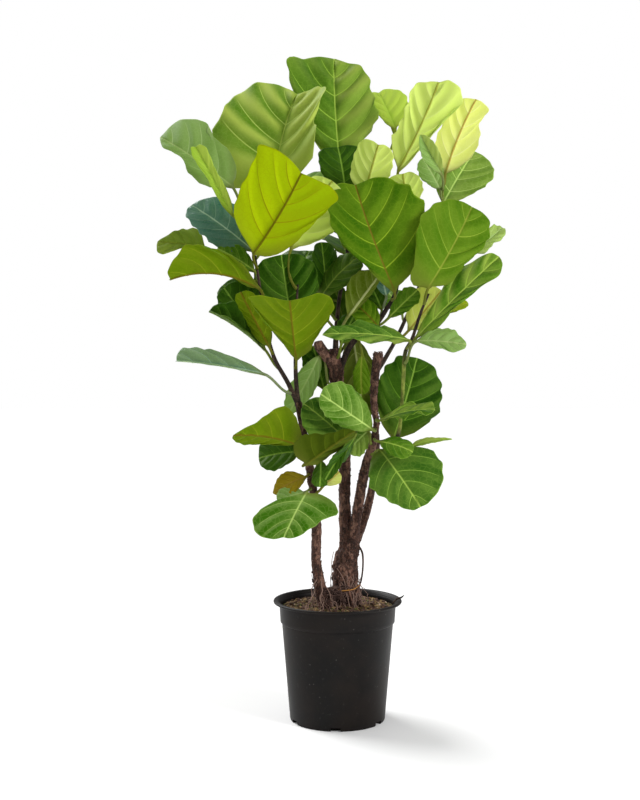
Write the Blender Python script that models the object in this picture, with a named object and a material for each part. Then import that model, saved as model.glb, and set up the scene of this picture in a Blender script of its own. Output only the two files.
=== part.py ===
"""Potted fiddle leaf fig: a nursery pot, its soil, two trunks and their leaves.

Origin: centre of the pot's flat underside. +Z is up, -Y is the front.
Stem points and leaf places are in centimetres, everything else in metres.
"""
import math

import bmesh
import bpy
import numpy as np
from mathutils import Vector

CM = 0.01

# Pot
POT_HEIGHT = 0.252
BASE_RADIUS = 0.100
WALL_LEAN = 0.0836
COLLAR_BOTTOM = 0.2065
COLLAR_STEP = 0.003
COLLAR_LEAN = 0.0024
RIM_RADIUS = 0.135
RIM_THICK = 0.0055
RIM_INSIDE = 0.1275
WALL = 0.0022
FLOOR_THICK = 0.003
POT_SIDES = 48
NOTCHES = 6
NOTCH_WIDTH = 0.021
NOTCH_HEIGHT = 0.0075
NOTCH_DEPTH = 0.012
FRONT_NOTCH_TURN = -93.0

# Soil
SOIL_TOP = 0.237
SOIL_MOUND = 0.005
SOIL_BUMP = 0.0009
SOIL_RINGS = (0.02, 0.045, 0.07, 0.095)
GAP = 0.0003
HOLE_GAP = 0.0004
HOLE_ROWS = 5

# Wood
TRUNK_RADIUS = 1.2
TRUNK_SIDES = 10
STEM_SIDES = 7
ROOT_SIDES = 5

# Leaves
BLADE_THICK = 0.0014
STALK_RADIUS = 0.0023
STALK_ROWS = 2
STALK_GAP = 0.0003
STALK_BEND = 0.4
STALK_OPEN = 165.0
BLADE_START = 0.04
WIDEST_AT = 0.6
OVAL_WIDEST_AT = 0.46
OVAL_LEAVES = ("leaf_03", "leaf_05", "leaf_23", "leaf_27", "leaf_28", "leaf_38")
BASE_FULLNESS = 0.75
TIP_ROUNDNESS = 2.4
WAIST = 0.05
WAIST_AT = 0.3
WAIST_LENGTH = 0.12
LEAST_HALF = 0.0012
MIDRIB_THICK = 0.0022
WAVE_HEIGHT = 0.035
WAVES = 2.4
SMALL_WIDTH = 9.6

# Stems: (x, y, z, radius) in cm, from the root end up
STEMS = {
    "left": [
        (-3.3, -3.5, 19, 1.5), (-3.3, -3.5, 24, 1.45), (-4.0, -3.2, 28, 1.2), (-4.5, -3, 34, 1.0),
        (-4.4, -3, 40, 1.0), (-4.8, -3, 46, 0.85), (-5.8, -3, 53, 0.85), (-7.0, -3.5, 60, 0.75),
        (-8.2, -5, 67, 0.7)],
    "left_upright": [
        (-8.0, -4.8, 66, 0.6), (-8.5, -5.5, 70, 0.55), (-8.7, -6, 75, 0.5), (-8.6, -6.5, 82, 0.4),
        (-8.4, -6.5, 88, 0.35), (-8.2, -6, 91, 0.3)],
    "left_branch": [
        (-8.0, -4.8, 66, 0.6), (-10.3, -6, 71, 0.55), (-13.0, -7, 76, 0.5), (-14.6, -8, 82, 0.45),
        (-15.5, -9, 88, 0.4), (-16.5, -10, 95, 0.35), (-18.0, -9, 102, 0.3), (-19.5, -7, 106, 0.25)],
    "main": [
        (1.8, 0, 18.5, 3.0), (1.7, 0, 25, 2.8), (1.6, 0, 32, 2.6), (2.5, 0, 36, 2.1), (3.0, 0.2, 38, 1.6)],
    "middle": [
        (2.0, 0, 33, 1.7), (1.8, 0.3, 39, 1.45), (1.5, 1, 45, 1.2), (1.5, 1.5, 51, 1.2),
        (1.5, 1.5, 57, 1.2), (1.0, 1.5, 64, 1.2), (0.0, 1.5, 70, 1.4), (-0.4, 1.5, 74, 1.5),
        (-0.7, 1.5, 78, 1.0)],
    "stump": [(-0.3, 1.5, 73, 1.0), (-2.2, 0.8, 76, 1.0), (-3.8, 0.2, 78.5, 1.1), (-4.0, 0, 79.5, 0.8)],
    "upper": [
        (-0.5, 1.5, 75, 0.7), (-0.3, 2, 81, 0.6), (0.3, 2.5, 88, 0.5), (1.4, 3, 94, 0.5),
        (2.2, 4, 100, 0.45), (1.6, 4.5, 107, 0.4), (0.4, 5, 114, 0.35), (-0.5, 5, 118, 0.3)],
    "cross": [
        (0.2, 1.5, 73, 0.7), (3.0, 1, 79, 0.65), (7.5, 0, 82.5, 0.6), (10.0, -2, 86, 0.55),
        (12.0, -3, 90, 0.5), (13.0, -1, 98, 0.4), (12.8, 1, 106, 0.35), (12.4, 2, 113, 0.3)],
    "right": [
        (2.6, 0, 35, 1.5), (3.8, -0.8, 42, 1.1), (4.8, -1, 48, 1.05), (5.6, -1, 52, 1.05),
        (7.0, -1, 57, 1.0), (8.1, -0.5, 62, 0.65), (7.6, 0, 66, 0.65), (7.7, 0, 71, 0.85),
        (8.4, 0, 76, 1.0), (8.5, 0, 77, 0.9)],
    "right_back": [
        (3.0, 0.4, 36, 1.3), (5.6, 1.4, 42, 0.95), (7.2, 2, 48, 0.8), (8.2, 2, 54, 0.7), (8.2, 0.8, 60, 0.6)],
    "side": [
        (7.6, 1.2, 55, 0.55), (10.5, -1, 57, 0.5), (12.4, -4, 60, 0.5), (13.0, -6, 66, 0.45),
        (13.3, -7, 72, 0.5), (13.6, -7.5, 77, 0.5), (15.0, -8, 80, 0.45), (16.6, -8.5, 85, 0.4),
        (18.2, -9, 89, 0.35)],
    "far": [
        (8.0, 0, 73, 0.6), (9.8, 2, 75.5, 0.55), (13.0, 5, 81, 0.5), (17.0, 7, 90, 0.45),
        (20.5, 7.5, 100, 0.4), (22.3, 7, 108, 0.35), (22.6, 6.5, 114, 0.3)],
}
LEFT_WOOD = ["left", "left_upright", "left_branch"]
MAIN_WOOD = ["main", "middle", "stump", "upper", "cross", "right", "right_back", "side", "far"]
ROOTS = [
    [(3.6, -0.4, 37.5, 0.25), (5.2, -1.2, 35, 0.22), (5.0, -1.8, 30, 0.2), (3.6, -2.2, 26, 0.25),
     (3.0, -2.0, 22, 0.3)],
    [(0.4, -1.6, 32, 0.25), (0.4, -2.9, 28, 0.3), (0.8, -3.3, 25, 0.3), (0.9, -2.6, 21, 0.35)],
    [(2.6, -1.8, 33, 0.25), (2.2, -2.9, 29, 0.3), (2.8, -3.3, 25, 0.3), (2.4, -2.4, 21, 0.35)],
]

# Leaves: name, stem and height it grows at, blade's base, blade's tip, width,
# where its upper side looks (heading, rise), arch, fold, tone.
# Heading 0 is +X and 90 is +Y.
LEAVES = [
    ("leaf_01", "left_branch", 105, (-21.5, -5, 110), (-36, -6, 123), 18.5, (-48, 35), 25, 8, "mid"),
    ("leaf_02", "left_branch", 103, (-21, -9, 105), (-29, -9, 117.5), 9, (-40, 20), 20, 20, "young"),
    ("leaf_03", "upper", 113, (-13.5, -1, 111.5), (-11.5, 5, 134.2), 22, (-90, 20), 20, 12, "mid"),
    ("leaf_04", "upper", 117, (-0.2, 11, 121), (-0.4, 15, 142), 18, (-90, 15), 15, 10, "mid"),
    ("leaf_05", "left_branch", 94, (-16.5, -13, 98), (-8, -14, 117), 21, (90, 10), 10, 8, "young"),
    ("leaf_06", "left_branch", 92, (-17.5, -8, 98), (-30, -2, 108), 14, (-60, 45), 20, 10, "grey"),
    ("leaf_07", "left_branch", 91, (-24, 3, 96.5), (-38.5, 3, 100.5), 11, (-90, 60), 20, 8, "olive"),
    ("leaf_08", "left_branch", 84, (-16, -13, 89), (-33.5, -14, 93.5), 15, (90, 50), 20, 10, "olive"),
    ("leaf_09", "left_branch", 85, (-17, -6, 89.5), (-26, -6, 93), 8, (-90, 60), 15, 10, "mid"),
    ("leaf_10", "left_upright", 90, (-9.5, -4, 99), (-1.5, -2, 114), 13, (90, 20), 10, 8, "young"),
    ("leaf_11", "left_upright", 87, (-8, -2, 90), (-6, 8, 99), 14, (-90, 60), 15, 8, "deep"),
    ("leaf_12", "left_upright", 74, (-8.3, -9, 78), (-9.5, -20, 89.5), 18, (90, 50), 15, 8, "olive"),
    ("leaf_13", "left_branch", 76, (-15.5, -2, 79.5), (-21.5, -2, 90), 11, (-40, 30), 10, 20, "olive"),
    ("leaf_14", "left_upright", 83, (-15.5, 4, 84.5), (-24.5, 6, 91.5), 9, (-90, 45), 15, 10, "deep"),
    ("leaf_15", "left_branch", 74, (-15.5, -6, 77.5), (-26.5, -6, 85.5), 9, (-80, 70), 15, 10, "mid"),
    ("leaf_16", "left_branch", 69, (-14.5, -9, 73), (-32.7, -9, 75.5), 11, (-90, 75), 12, 12, "grey"),
    ("leaf_17", "left", 57, (-9, -8, 58), (-21, -11, 61.5), 13, (90, 30), 15, 8, "olive"),
    ("leaf_18", "left", 55, (-7, -13, 56), (3, -18, 60.5), 11, (95, 65), 10, 25, "olive"),
    ("leaf_19", "middle", 58, (1, -7.5, 60.5), (-6.5, -7.5, 66), 9, (-90, 45), 15, 8, "deep"),
    ("leaf_20", "middle", 60, (3.3, -9.5, 60), (-2, -9.5, 53.5), 6, (-10, 30), 10, 10, "deep"),
    ("leaf_21", "right", 61, (6.5, -8, 62), (-3, -11, 68.5), 10, (-90, 50), 15, 8, "mid"),
    ("leaf_22", "right", 58, (5.5, -4.5, 59), (3, -5.5, 54.5), 5, (-90, 30), 10, 8, "mid"),
    ("leaf_23", "side", 57, (12, 4, 59), (17, 5, 76), 13.5, (-90, 20), 15, 8, "deep"),
    ("leaf_24", "right", 63, (9.5, -9, 63.8), (19, -11, 65), 7, (-90, 75), 15, 10, "mid"),
    ("leaf_25", "right", 59, (8.5, -8, 59), (15, -10, 57), 6.5, (-90, 50), 15, 8, "young"),
    ("leaf_26", "side", 58, (15.5, 0, 57.5), (24, 0, 59), 5, (-90, 80), 10, 8, "mid"),
    ("leaf_27", "right", 56, (9.8, -5, 57), (15.5, -8, 45.7), 13.5, (-90, 30), 15, 8, "mid"),
    ("leaf_28", "left", 47, (-3, -9, 47.3), (-16.3, -12, 42.5), 13, (-90, 45), 15, 8, "bright"),
    ("leaf_29", "left", 52, (-7, -5, 51), (-13, -5, 49), 6, (-90, 30), 10, 10, "gold"),
    ("leaf_30", "left", 56, (-8, -2, 56.5), (-16.5, -1, 55), 8, (-90, 35), 15, 8, "deep"),
    ("leaf_31", "left", 57, (-3.6, -5.5, 55), (-3.8, -5.5, 49.5), 4, (-10, 10), 5, 10, "deep"),
    ("leaf_32", "cross", 111, (12.2, 3, 115.5), (22.8, 3, 135), 12.5, (60, 20), 15, 8, "pale"),
    ("leaf_33", "upper", 110, (11.5, 9.5, 122.5), (10.5, 10, 134), 8, (-90, 20), 10, 8, "young"),
    ("leaf_34", "far", 113, (23, 6, 116), (29.5, 6, 132.5), 10, (90, 20), 10, 8, "pale"),
    ("leaf_35", "far", 112, (21.5, 0, 114.5), (17, -2, 122), 6.5, (-110, 20), 10, 25, "young"),
    ("leaf_36", "far", 107, (23.5, 9, 110), (30.5, 9, 120.5), 11, (-90, 30), 10, 8, "mid"),
    ("leaf_37", "cross", 104, (15, 3, 108.5), (18, 3, 115), 4.5, (90, 10), 10, 8, "pale"),
    ("leaf_38", "cross", 88, (11.3, -6, 90), (4.8, -8, 111.8), 19.5, (-90, 10), 10, 8, "mid"),
    ("leaf_39", "side", 87, (17.5, -11, 90), (25.8, -9, 107), 14, (-70, 15), 10, 10, "mid"),
    ("leaf_40", "side", 79, (18, -10, 82), (33, -9, 97), 11, (-125, 40), 20, 10, "mid"),
    ("leaf_41", "side", 75, (17, -11.5, 78), (26, -13, 77.5), 10, (-90, 60), 15, 8, "mid"),
    ("leaf_42", "side", 78, (11, -12, 80), (-1, -14, 81), 9, (-90, 65), 15, 8, "mid"),
    ("leaf_43", "far", 79, (15, -1, 82), (21.5, -2, 90), 8, (-90, 20), 10, 8, "young"),
    ("leaf_44", "far", 94, (25, 6, 99), (36.5, 6, 103.5), 7, (-90, 40), 10, 20, "grey"),
    ("leaf_45", "upper", 108, (3, 2, 110.5), (-4, 1.5, 120), 8, (-90, 20), 10, 8, "deep"),
    ("leaf_46", "upper", 104, (5, -2, 110), (8.6, -2, 121.5), 9, (90, 20), 10, 20, "pale"),
    ("leaf_47", "upper", 84, (-2.5, -1, 88), (-3.5, -1.5, 100), 7, (-60, 20), 10, 10, "deep"),
    ("leaf_48", "upper", 82, (-3.5, -3.5, 88.5), (4, -3, 95), 7, (-110, 40), 15, 10, "deep"),
    ("leaf_49", "upper", 80, (2, -7, 84.5), (8.5, -9, 93), 8, (90, 30), 10, 8, "olive"),
    ("leaf_50", "cross", 80, (5, -3, 76.5), (5, -3, 68.5), 3.5, (-90, 10), 10, 8, "olive"),
    ("leaf_51", "upper", 110, (-2, 12, 112), (-9, 26, 117), 16, (-100, 60), 20, 8, "mid"),
    ("leaf_52", "upper", 98, (3, 10, 98), (5, 25, 101), 17, (-90, 65), 25, 8, "deep"),
    ("leaf_53", "far", 98, (19, 13, 101), (17, 27, 108), 15, (-90, 60), 20, 8, "mid"),
    ("leaf_54", "upper", 88, (-4, 8, 90), (-13, 20, 94), 15, (-60, 65), 20, 8, "deep"),
    ("leaf_55", "far", 84, (14, 11, 86), (11, 23, 91), 14, (-90, 50), 20, 8, "young"),
    ("leaf_56", "middle", 70, (-4, -1, 72.5), (-9, 0, 65.5), 6, (-60, 30), 10, 8, "grey"),
]

# Name: (colour, roughness)
TONES = {
    "deep": ((0.030, 0.090, 0.006), 0.42),
    "mid": ((0.075, 0.200, 0.015), 0.42),
    "bright": ((0.110, 0.290, 0.020), 0.40),
    "olive": ((0.140, 0.210, 0.006), 0.48),
    "young": ((0.350, 0.500, 0.020), 0.48),
    "pale": ((0.420, 0.520, 0.140), 0.50),
    "grey": ((0.130, 0.250, 0.160), 0.36),
    "gold": ((0.360, 0.260, 0.020), 0.50),
}


def clear_scene():
    for item in list(bpy.data.objects):
        bpy.data.objects.remove(item, do_unlink=True)


def make_material(name, colour, roughness):
    material = bpy.data.materials.new(name)
    material.use_nodes = True
    shader = material.node_tree.nodes["Principled BSDF"]
    shader.inputs["Base Color"].default_value = (*colour, 1.0)
    shader.inputs["Roughness"].default_value = roughness
    shader.inputs["Metallic"].default_value = 0.0
    return material


def make_object(name, verts, faces, material):
    mesh = bpy.data.meshes.new(name)
    mesh.from_pydata([tuple(v) for v in verts], [], faces)
    mesh.shade_smooth()
    item = bpy.data.objects.new(name, mesh)
    bpy.context.scene.collection.objects.link(item)
    if material is not None:
        mesh.materials.append(material)
    return item


def apply_modifiers(item):
    """Keep an object's shape as its modifiers make it, and drop them."""
    bpy.context.view_layer.update()
    graph = bpy.context.evaluated_depsgraph_get()
    result = bpy.data.meshes.new_from_object(item.evaluated_get(graph))
    item.modifiers.clear()
    item.data = result


def join(target, others):
    """Union one object with several, held in a collection that is removed after."""
    group = bpy.data.collections.new("joined")
    bpy.context.scene.collection.children.link(group)
    for item in others:
        for home in list(item.users_collection):
            home.objects.unlink(item)
        group.objects.link(item)
    modifier = target.modifiers.new("join", "BOOLEAN")
    modifier.operation = "UNION"
    modifier.operand_type = "COLLECTION"
    modifier.collection = group
    modifier.solver = "EXACT"
    apply_modifiers(target)
    for item in others:
        bpy.data.objects.remove(item, do_unlink=True)
    bpy.data.collections.remove(group)


def cut(target, tools):
    """Cut one object with several, one after the other, and remove them."""
    for tool in tools:
        modifier = target.modifiers.new("cut", "BOOLEAN")
        modifier.operation = "DIFFERENCE"
        modifier.object = tool
        modifier.solver = "EXACT"
    apply_modifiers(target)
    for tool in tools:
        bpy.data.objects.remove(tool, do_unlink=True)


def turned(name, profile, sides, material):
    """Turn a closed (radius, height) profile about Z. A radius of 0 is one point."""
    verts = []
    rings = []
    for radius, height in profile:
        if radius == 0:
            rings.append([len(verts)] * sides)
            verts.append((0, 0, height))
            continue
        rings.append([len(verts) + k for k in range(sides)])
        for k in range(sides):
            turn = 2 * math.pi * k / sides
            verts.append((radius * math.cos(turn), radius * math.sin(turn), height))
    faces = []
    for low, high in zip(rings, rings[1:]):
        for k in range(sides):
            after = (k + 1) % sides
            corners = [low[k], low[after], high[after], high[k]]
            face = list(dict.fromkeys(corners))
            if len(face) > 2:
                faces.append(face)
    return make_object(name, verts, faces, material)


def wall_radius(height):
    return BASE_RADIUS + WALL_LEAN * height


def make_pot(material):
    top = POT_HEIGHT
    under_rim = top - RIM_THICK
    collar_low = wall_radius(COLLAR_BOTTOM) + COLLAR_STEP
    collar_high = collar_low + COLLAR_LEAN
    profile = [
        (0, 0), (BASE_RADIUS, 0), (wall_radius(COLLAR_BOTTOM), COLLAR_BOTTOM - 0.002),
        (collar_low, COLLAR_BOTTOM), (collar_high, under_rim),
        (RIM_RADIUS - 0.0015, under_rim), (RIM_RADIUS, under_rim + 0.0015),
        (RIM_RADIUS, top - 0.0015), (RIM_RADIUS - 0.002, top), (RIM_INSIDE, top),
        (collar_high - WALL, under_rim - 0.004), (collar_low - WALL, COLLAR_BOTTOM + 0.001),
        (wall_radius(COLLAR_BOTTOM) - WALL, COLLAR_BOTTOM - 0.001),
        (wall_radius(FLOOR_THICK) - WALL, FLOOR_THICK), (0, FLOOR_THICK)]
    pot = turned("pot", profile, POT_SIDES, material)
    cutters = []
    for k in range(NOTCHES):
        turn = math.radians(FRONT_NOTCH_TURN + 360 * k / NOTCHES)
        bpy.ops.mesh.primitive_cube_add(size=1)
        box = bpy.context.object
        box.scale = (2 * NOTCH_DEPTH, NOTCH_WIDTH, 2 * NOTCH_HEIGHT)
        box.rotation_euler = (0, 0, turn)
        box.location = (BASE_RADIUS * math.cos(turn), BASE_RADIUS * math.sin(turn), 0)
        cutters.append(box)
    cut(pot, cutters)
    pot.data.set_sharp_from_angle(angle=math.radians(35))
    return pot


def smooth_path(points, steps):
    """Points on a Catmull-Rom curve through the given ones, `steps` per span."""
    rows = np.array(points, dtype=float)
    ends = np.vstack([2 * rows[0] - rows[1], rows, 2 * rows[-1] - rows[-2]])
    result = []
    for k in range(1, len(ends) - 2):
        a, b, c, d = ends[k - 1], ends[k], ends[k + 1], ends[k + 2]
        for t in np.arange(steps) / steps:
            turn = 2 * b + (c - a) * t + (2 * a - 5 * b + 4 * c - d) * t**2
            result.append(0.5 * (turn + (3 * b - a - 3 * c + d) * t**3))
    result.append(rows[-1])
    return np.array(result)


def make_tube(name, points, sides, grow, material, rows=None):
    """A tapered closed tube through (x, y, z, radius) points given in cm, or its first rows."""
    path = smooth_path(points, 2) * CM
    centres, radii = path[:, :3], path[:, 3] + grow
    slopes = np.gradient(centres, axis=0)
    slopes /= np.linalg.norm(slopes, axis=1)[:, None]
    centres[0] -= slopes[0] * grow
    centres, slopes, radii = centres[:rows], slopes[:rows], radii[:rows]
    verts = []
    across = np.cross(slopes[0], (0, 1, 0))
    for centre, slope, radius in zip(centres, slopes, radii):
        across = across - slope * np.dot(across, slope)
        across /= np.linalg.norm(across)
        other = np.cross(slope, across)
        for k in range(sides):
            turn = 2 * math.pi * k / sides
            verts.append(centre + radius * (across * math.cos(turn) + other * math.sin(turn)))
    faces = []
    for row in range(len(centres) - 1):
        for k in range(sides):
            a = row * sides + k
            b = row * sides + (k + 1) % sides
            faces.append([a, b, b + sides, a + sides])
    last = (len(centres) - 1) * sides
    faces.append([k for k in reversed(range(sides))])
    faces.append([last + k for k in range(sides)])
    return make_object(name, verts, faces, material)


def make_wood(name, stems, roots, material):
    tubes = []
    for stem in stems:
        widest = max(point[3] for point in STEMS[stem])
        sides = TRUNK_SIDES if widest > TRUNK_RADIUS else STEM_SIDES
        tubes.append(make_tube(stem, STEMS[stem], sides, 0, material))
    for number, root in enumerate(roots):
        tubes.append(make_tube("root", root, ROOT_SIDES, 0, material))
    first, rest = tubes[0], tubes[1:]
    join(first, rest)
    first.name = name
    first.data.name = name
    return first


def soil_height(x, y):
    """Mounded to the middle, with low bumps of bark."""
    spread = (x * x + y * y) / BASE_RADIUS**2
    bumps = math.sin(140 * x) * math.cos(120 * y) + math.sin(85 * (x + y))
    return SOIL_TOP + SOIL_MOUND * (1 - spread) + SOIL_BUMP * bumps


def make_soil(material):
    below_step = wall_radius(COLLAR_BOTTOM) - WALL - 3 * GAP
    above_step = below_step + COLLAR_STEP
    sides = POT_SIDES
    levels = [
        (wall_radius(FLOOR_THICK) - WALL - GAP, FLOOR_THICK + GAP),
        (below_step, COLLAR_BOTTOM - 0.0005), (above_step, COLLAR_BOTTOM + 0.002),
        (above_step + 0.6 * COLLAR_LEAN, SOIL_TOP - 0.004)]
    verts = [(0, 0, FLOOR_THICK + GAP)]
    loops = []
    for radius, height in levels:
        loops.append([len(verts) + k for k in range(sides)])
        for k in range(sides):
            turn = 2 * math.pi * k / sides
            verts.append((radius * math.cos(turn), radius * math.sin(turn), height))
    for radius in reversed(SOIL_RINGS):
        loops.append([len(verts) + k for k in range(sides)])
        for k in range(sides):
            turn = 2 * math.pi * k / sides
            x, y = radius * math.cos(turn), radius * math.sin(turn)
            verts.append((x, y, soil_height(x, y)))
    verts.append((0, 0, soil_height(0, 0)))
    faces = []
    for k in range(sides):
        after = (k + 1) % sides
        faces.append([0, loops[0][after], loops[0][k]])
        faces.append([loops[-1][k], loops[-1][after], len(verts) - 1])
        for low, high in zip(loops, loops[1:]):
            faces.append([low[k], low[after], high[after], high[k]])
    soil = make_object("soil", verts, faces, material)
    holes = [make_tube("hole", STEMS["left"], TRUNK_SIDES, HOLE_GAP, None, HOLE_ROWS),
             make_tube("hole", STEMS["main"], TRUNK_SIDES, HOLE_GAP, None, HOLE_ROWS)]
    for root in ROOTS:
        holes.append(make_tube("hole", root, ROOT_SIDES, HOLE_GAP, None))
    cut(soil, holes)
    return soil


def unit(vector):
    return vector / np.linalg.norm(vector)


def stem_at(stem, height):
    """Axis point, direction and radius of a stem at a height given in cm."""
    path = smooth_path(STEMS[stem], 2)
    k = int(np.searchsorted(path[:, 2], height))
    k = min(max(k, 1), len(path) - 1)
    low, high = path[k - 1], path[k]
    spot = low + (high - low) * (height - low[2]) / (high[2] - low[2])
    return spot[:3] * CM, unit(high[:3] - low[:3]), spot[3] * CM


def outline(name, u):
    """Half-width of a blade at u along it, 1 at its widest: a wedge, then a round end."""
    widest = OVAL_WIDEST_AT if name in OVAL_LEAVES else WIDEST_AT
    if u < widest:
        body = math.sin(0.5 * math.pi * u / widest) ** BASE_FULLNESS
    else:
        past = (u - widest) / (1 - widest)
        body = math.sqrt(max(0.0, 1 - past**TIP_ROUNDNESS))
    return body * (1 - WAIST * math.exp(-((u - WAIST_AT) / WAIST_LENGTH) ** 2))


def blade_point(leaf, u, v):
    """Point and normal of a blade's middle surface, u along it and v across, -1 to 1."""
    name, stem, height, base, tip, width, face, arch, fold, tone = leaf
    start, end = np.array(base) * CM, np.array(tip) * CM
    length = np.linalg.norm(end - start)
    along = unit(end - start)
    heading, rise = math.radians(face[0]), math.radians(face[1])
    looks = np.array([
        math.cos(rise) * math.cos(heading), math.cos(rise) * math.sin(heading), math.sin(rise)])
    up = unit(looks - along * np.dot(looks, along))
    side = np.cross(along, up)
    bend = math.radians(arch)
    radius = length / (2 * math.sin(bend / 2))
    turn = bend * (0.5 - u)
    slope = along * math.cos(turn) + up * math.sin(turn)
    normal = up * math.cos(turn) - along * math.sin(turn)
    centre = start + along * radius * (math.sin(bend / 2) - math.sin(turn))
    centre = centre + up * radius * (math.cos(turn) - math.cos(bend / 2))
    half = 0.5 * width * CM * outline(name, u) + LEAST_HALF
    lift = math.radians(fold)
    start_of_wave = height + (2 if v > 0 else 0)
    wave = WAVE_HEIGHT * half * v * v * math.sin(2 * math.pi * WAVES * u + start_of_wave)
    point = centre + side * half * v * math.cos(lift)
    point = point + normal * (abs(v) * half * math.sin(lift) + wave)
    tilt = unit(normal * math.cos(lift * v) - side * math.sin(lift * v))
    return point, tilt, slope, side, normal


def leaf_rows(leaf, stalk_rows, blade_rows, columns):
    """Upper and lower points, row by row from the stem to the tip."""
    stem, height = leaf[1], leaf[2]
    axis_point, axis, radius = stem_at(stem, height)
    base, _, slope, side, normal = blade_point(leaf, 0.0, 0.0)
    out = base - axis_point
    out = unit(out - axis * np.dot(out, axis) * 0.999)
    start = axis_point + out * (radius + STALK_GAP)
    reach = np.linalg.norm(base - start)
    near, far = start + out * reach * STALK_BEND, base - slope * reach * STALK_BEND
    rows = []
    across = side - out * np.dot(side, out)
    for k in range(stalk_rows):
        t = k / stalk_rows
        centre = (1 - t)**3 * start + 3 * (1 - t)**2 * t * near
        centre = centre + 3 * (1 - t) * t * t * far + t**3 * base
        way = (1 - t)**2 * (near - start) + 2 * (1 - t) * t * (far - near) + t * t * (base - far)
        way = unit(way)
        across = unit(across - way * np.dot(across, way))
        lift = np.cross(across, way)
        upper, lower = [], []
        for j in range(columns):
            turn = math.radians(STALK_OPEN + (180 - 2 * STALK_OPEN) * j / (columns - 1))
            flat = centre + across * STALK_RADIUS * math.cos(turn)
            upper.append(flat + lift * STALK_RADIUS * math.sin(turn))
            lower.append(flat - lift * STALK_RADIUS * math.sin(turn))
        rows.append((upper, lower))
    for k in range(blade_rows):
        t = k / (blade_rows - 1)
        u = BLADE_START + (1 - BLADE_START) * math.sin(t * math.pi / 2) ** 0.9
        u = 0.5 * u + 0.5 * (BLADE_START + (1 - BLADE_START) * t)
        thick = BLADE_THICK + MIDRIB_THICK * max(0, 1 - u * 4)
        upper, lower = [], []
        for j in range(columns):
            point, tilt = blade_point(leaf, u, 2 * j / (columns - 1) - 1)[:2]
            upper.append(point + tilt * thick / 2)
            lower.append(point - tilt * thick / 2)
        rows.append((upper, lower))
    return rows


def make_leaf(leaf, materials):
    name, width, tone = leaf[0], leaf[5], leaf[9]
    columns, blade_rows = (5, 6) if width < SMALL_WIDTH else (7, 7)
    rows = leaf_rows(leaf, STALK_ROWS, blade_rows, columns)
    verts = []
    for upper, lower in rows:
        verts += upper + lower
    faces = []

    def at(row, column, is_upper):
        return row * 2 * columns + column + (0 if is_upper else columns)

    for row in range(len(rows) - 1):
        for j in range(columns - 1):
            for is_upper in (True, False):
                a, b = at(row, j, is_upper), at(row, j + 1, is_upper)
                c, d = at(row + 1, j + 1, is_upper), at(row + 1, j, is_upper)
                for face in ([a, b, c], [a, c, d]):
                    faces.append(face if is_upper else face[::-1])
        for j, flip in ((0, False), (columns - 1, True)):
            face = [at(row, j, True), at(row + 1, j, True), at(row + 1, j, False), at(row, j, False)]
            faces.append(face[::-1] if flip else face)
    for row, flip in ((0, False), (len(rows) - 1, True)):
        for j in range(columns - 1):
            face = [at(row, j, True), at(row, j, False), at(row, j + 1, False), at(row, j + 1, True)]
            faces.append(face[::-1] if flip else face)
    return make_object(name, verts, faces, materials[tone])


def build():
    clear_scene()
    black = make_material("pot_plastic", (0.014, 0.013, 0.012), 0.55)
    earth = make_material("soil", (0.120, 0.062, 0.025), 0.95)
    bark = make_material("bark", (0.105, 0.050, 0.035), 0.85)
    greens = {tone: make_material("leaf_" + tone, *TONES[tone]) for tone in TONES}
    make_pot(black)
    make_soil(earth)
    make_wood("trunk_left", LEFT_WOOD, [], bark)
    make_wood("trunk_main", MAIN_WOOD, ROOTS, bark)
    for leaf in LEAVES:
        make_leaf(leaf, greens)


build()
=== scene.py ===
# %% [markdown]
# # A potted fiddle leaf fig
#
# The plant stands in a black nursery pot: two woody trunks, thin upper stems, 56 leather-like
# leaves and a few small ones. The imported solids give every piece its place, and each cell below
# makes a finer surface for one kind of piece. Lengths are in metres, apart from the tables of the
# plant's habit, which stay in centimetres because a grower would measure them so.

import math

import bpy
import numpy as np
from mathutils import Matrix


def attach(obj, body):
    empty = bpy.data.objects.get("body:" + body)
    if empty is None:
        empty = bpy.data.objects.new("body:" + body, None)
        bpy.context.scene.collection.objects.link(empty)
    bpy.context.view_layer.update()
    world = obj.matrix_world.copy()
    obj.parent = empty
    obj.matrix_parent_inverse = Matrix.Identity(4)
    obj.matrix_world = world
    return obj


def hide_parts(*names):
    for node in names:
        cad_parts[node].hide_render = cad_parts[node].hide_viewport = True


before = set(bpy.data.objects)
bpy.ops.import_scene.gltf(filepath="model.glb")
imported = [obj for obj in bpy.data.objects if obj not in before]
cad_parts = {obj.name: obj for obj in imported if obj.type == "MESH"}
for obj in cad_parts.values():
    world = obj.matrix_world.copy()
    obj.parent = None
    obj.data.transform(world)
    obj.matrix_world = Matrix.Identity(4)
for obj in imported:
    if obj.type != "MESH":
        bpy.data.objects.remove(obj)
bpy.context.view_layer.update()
CM = 0.01
print("nodes in the frame:", len(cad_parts))

# %% [markdown]
# ## The plant's habit
#
# A stem is a smooth curve through a few points, each with a radius. It could be drawn as a Bezier
# curve object by hand, but a list of points is easier to read and to correct. A leaf is set by the
# stem and height it grows at, by its blade's base and tip, by its width and by where its upper
# side looks. The solids were made from the same lists, before some of the blades were moved a
# little, so the fine pieces fit them. A later table gives single blades their own rim and bend.

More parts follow.
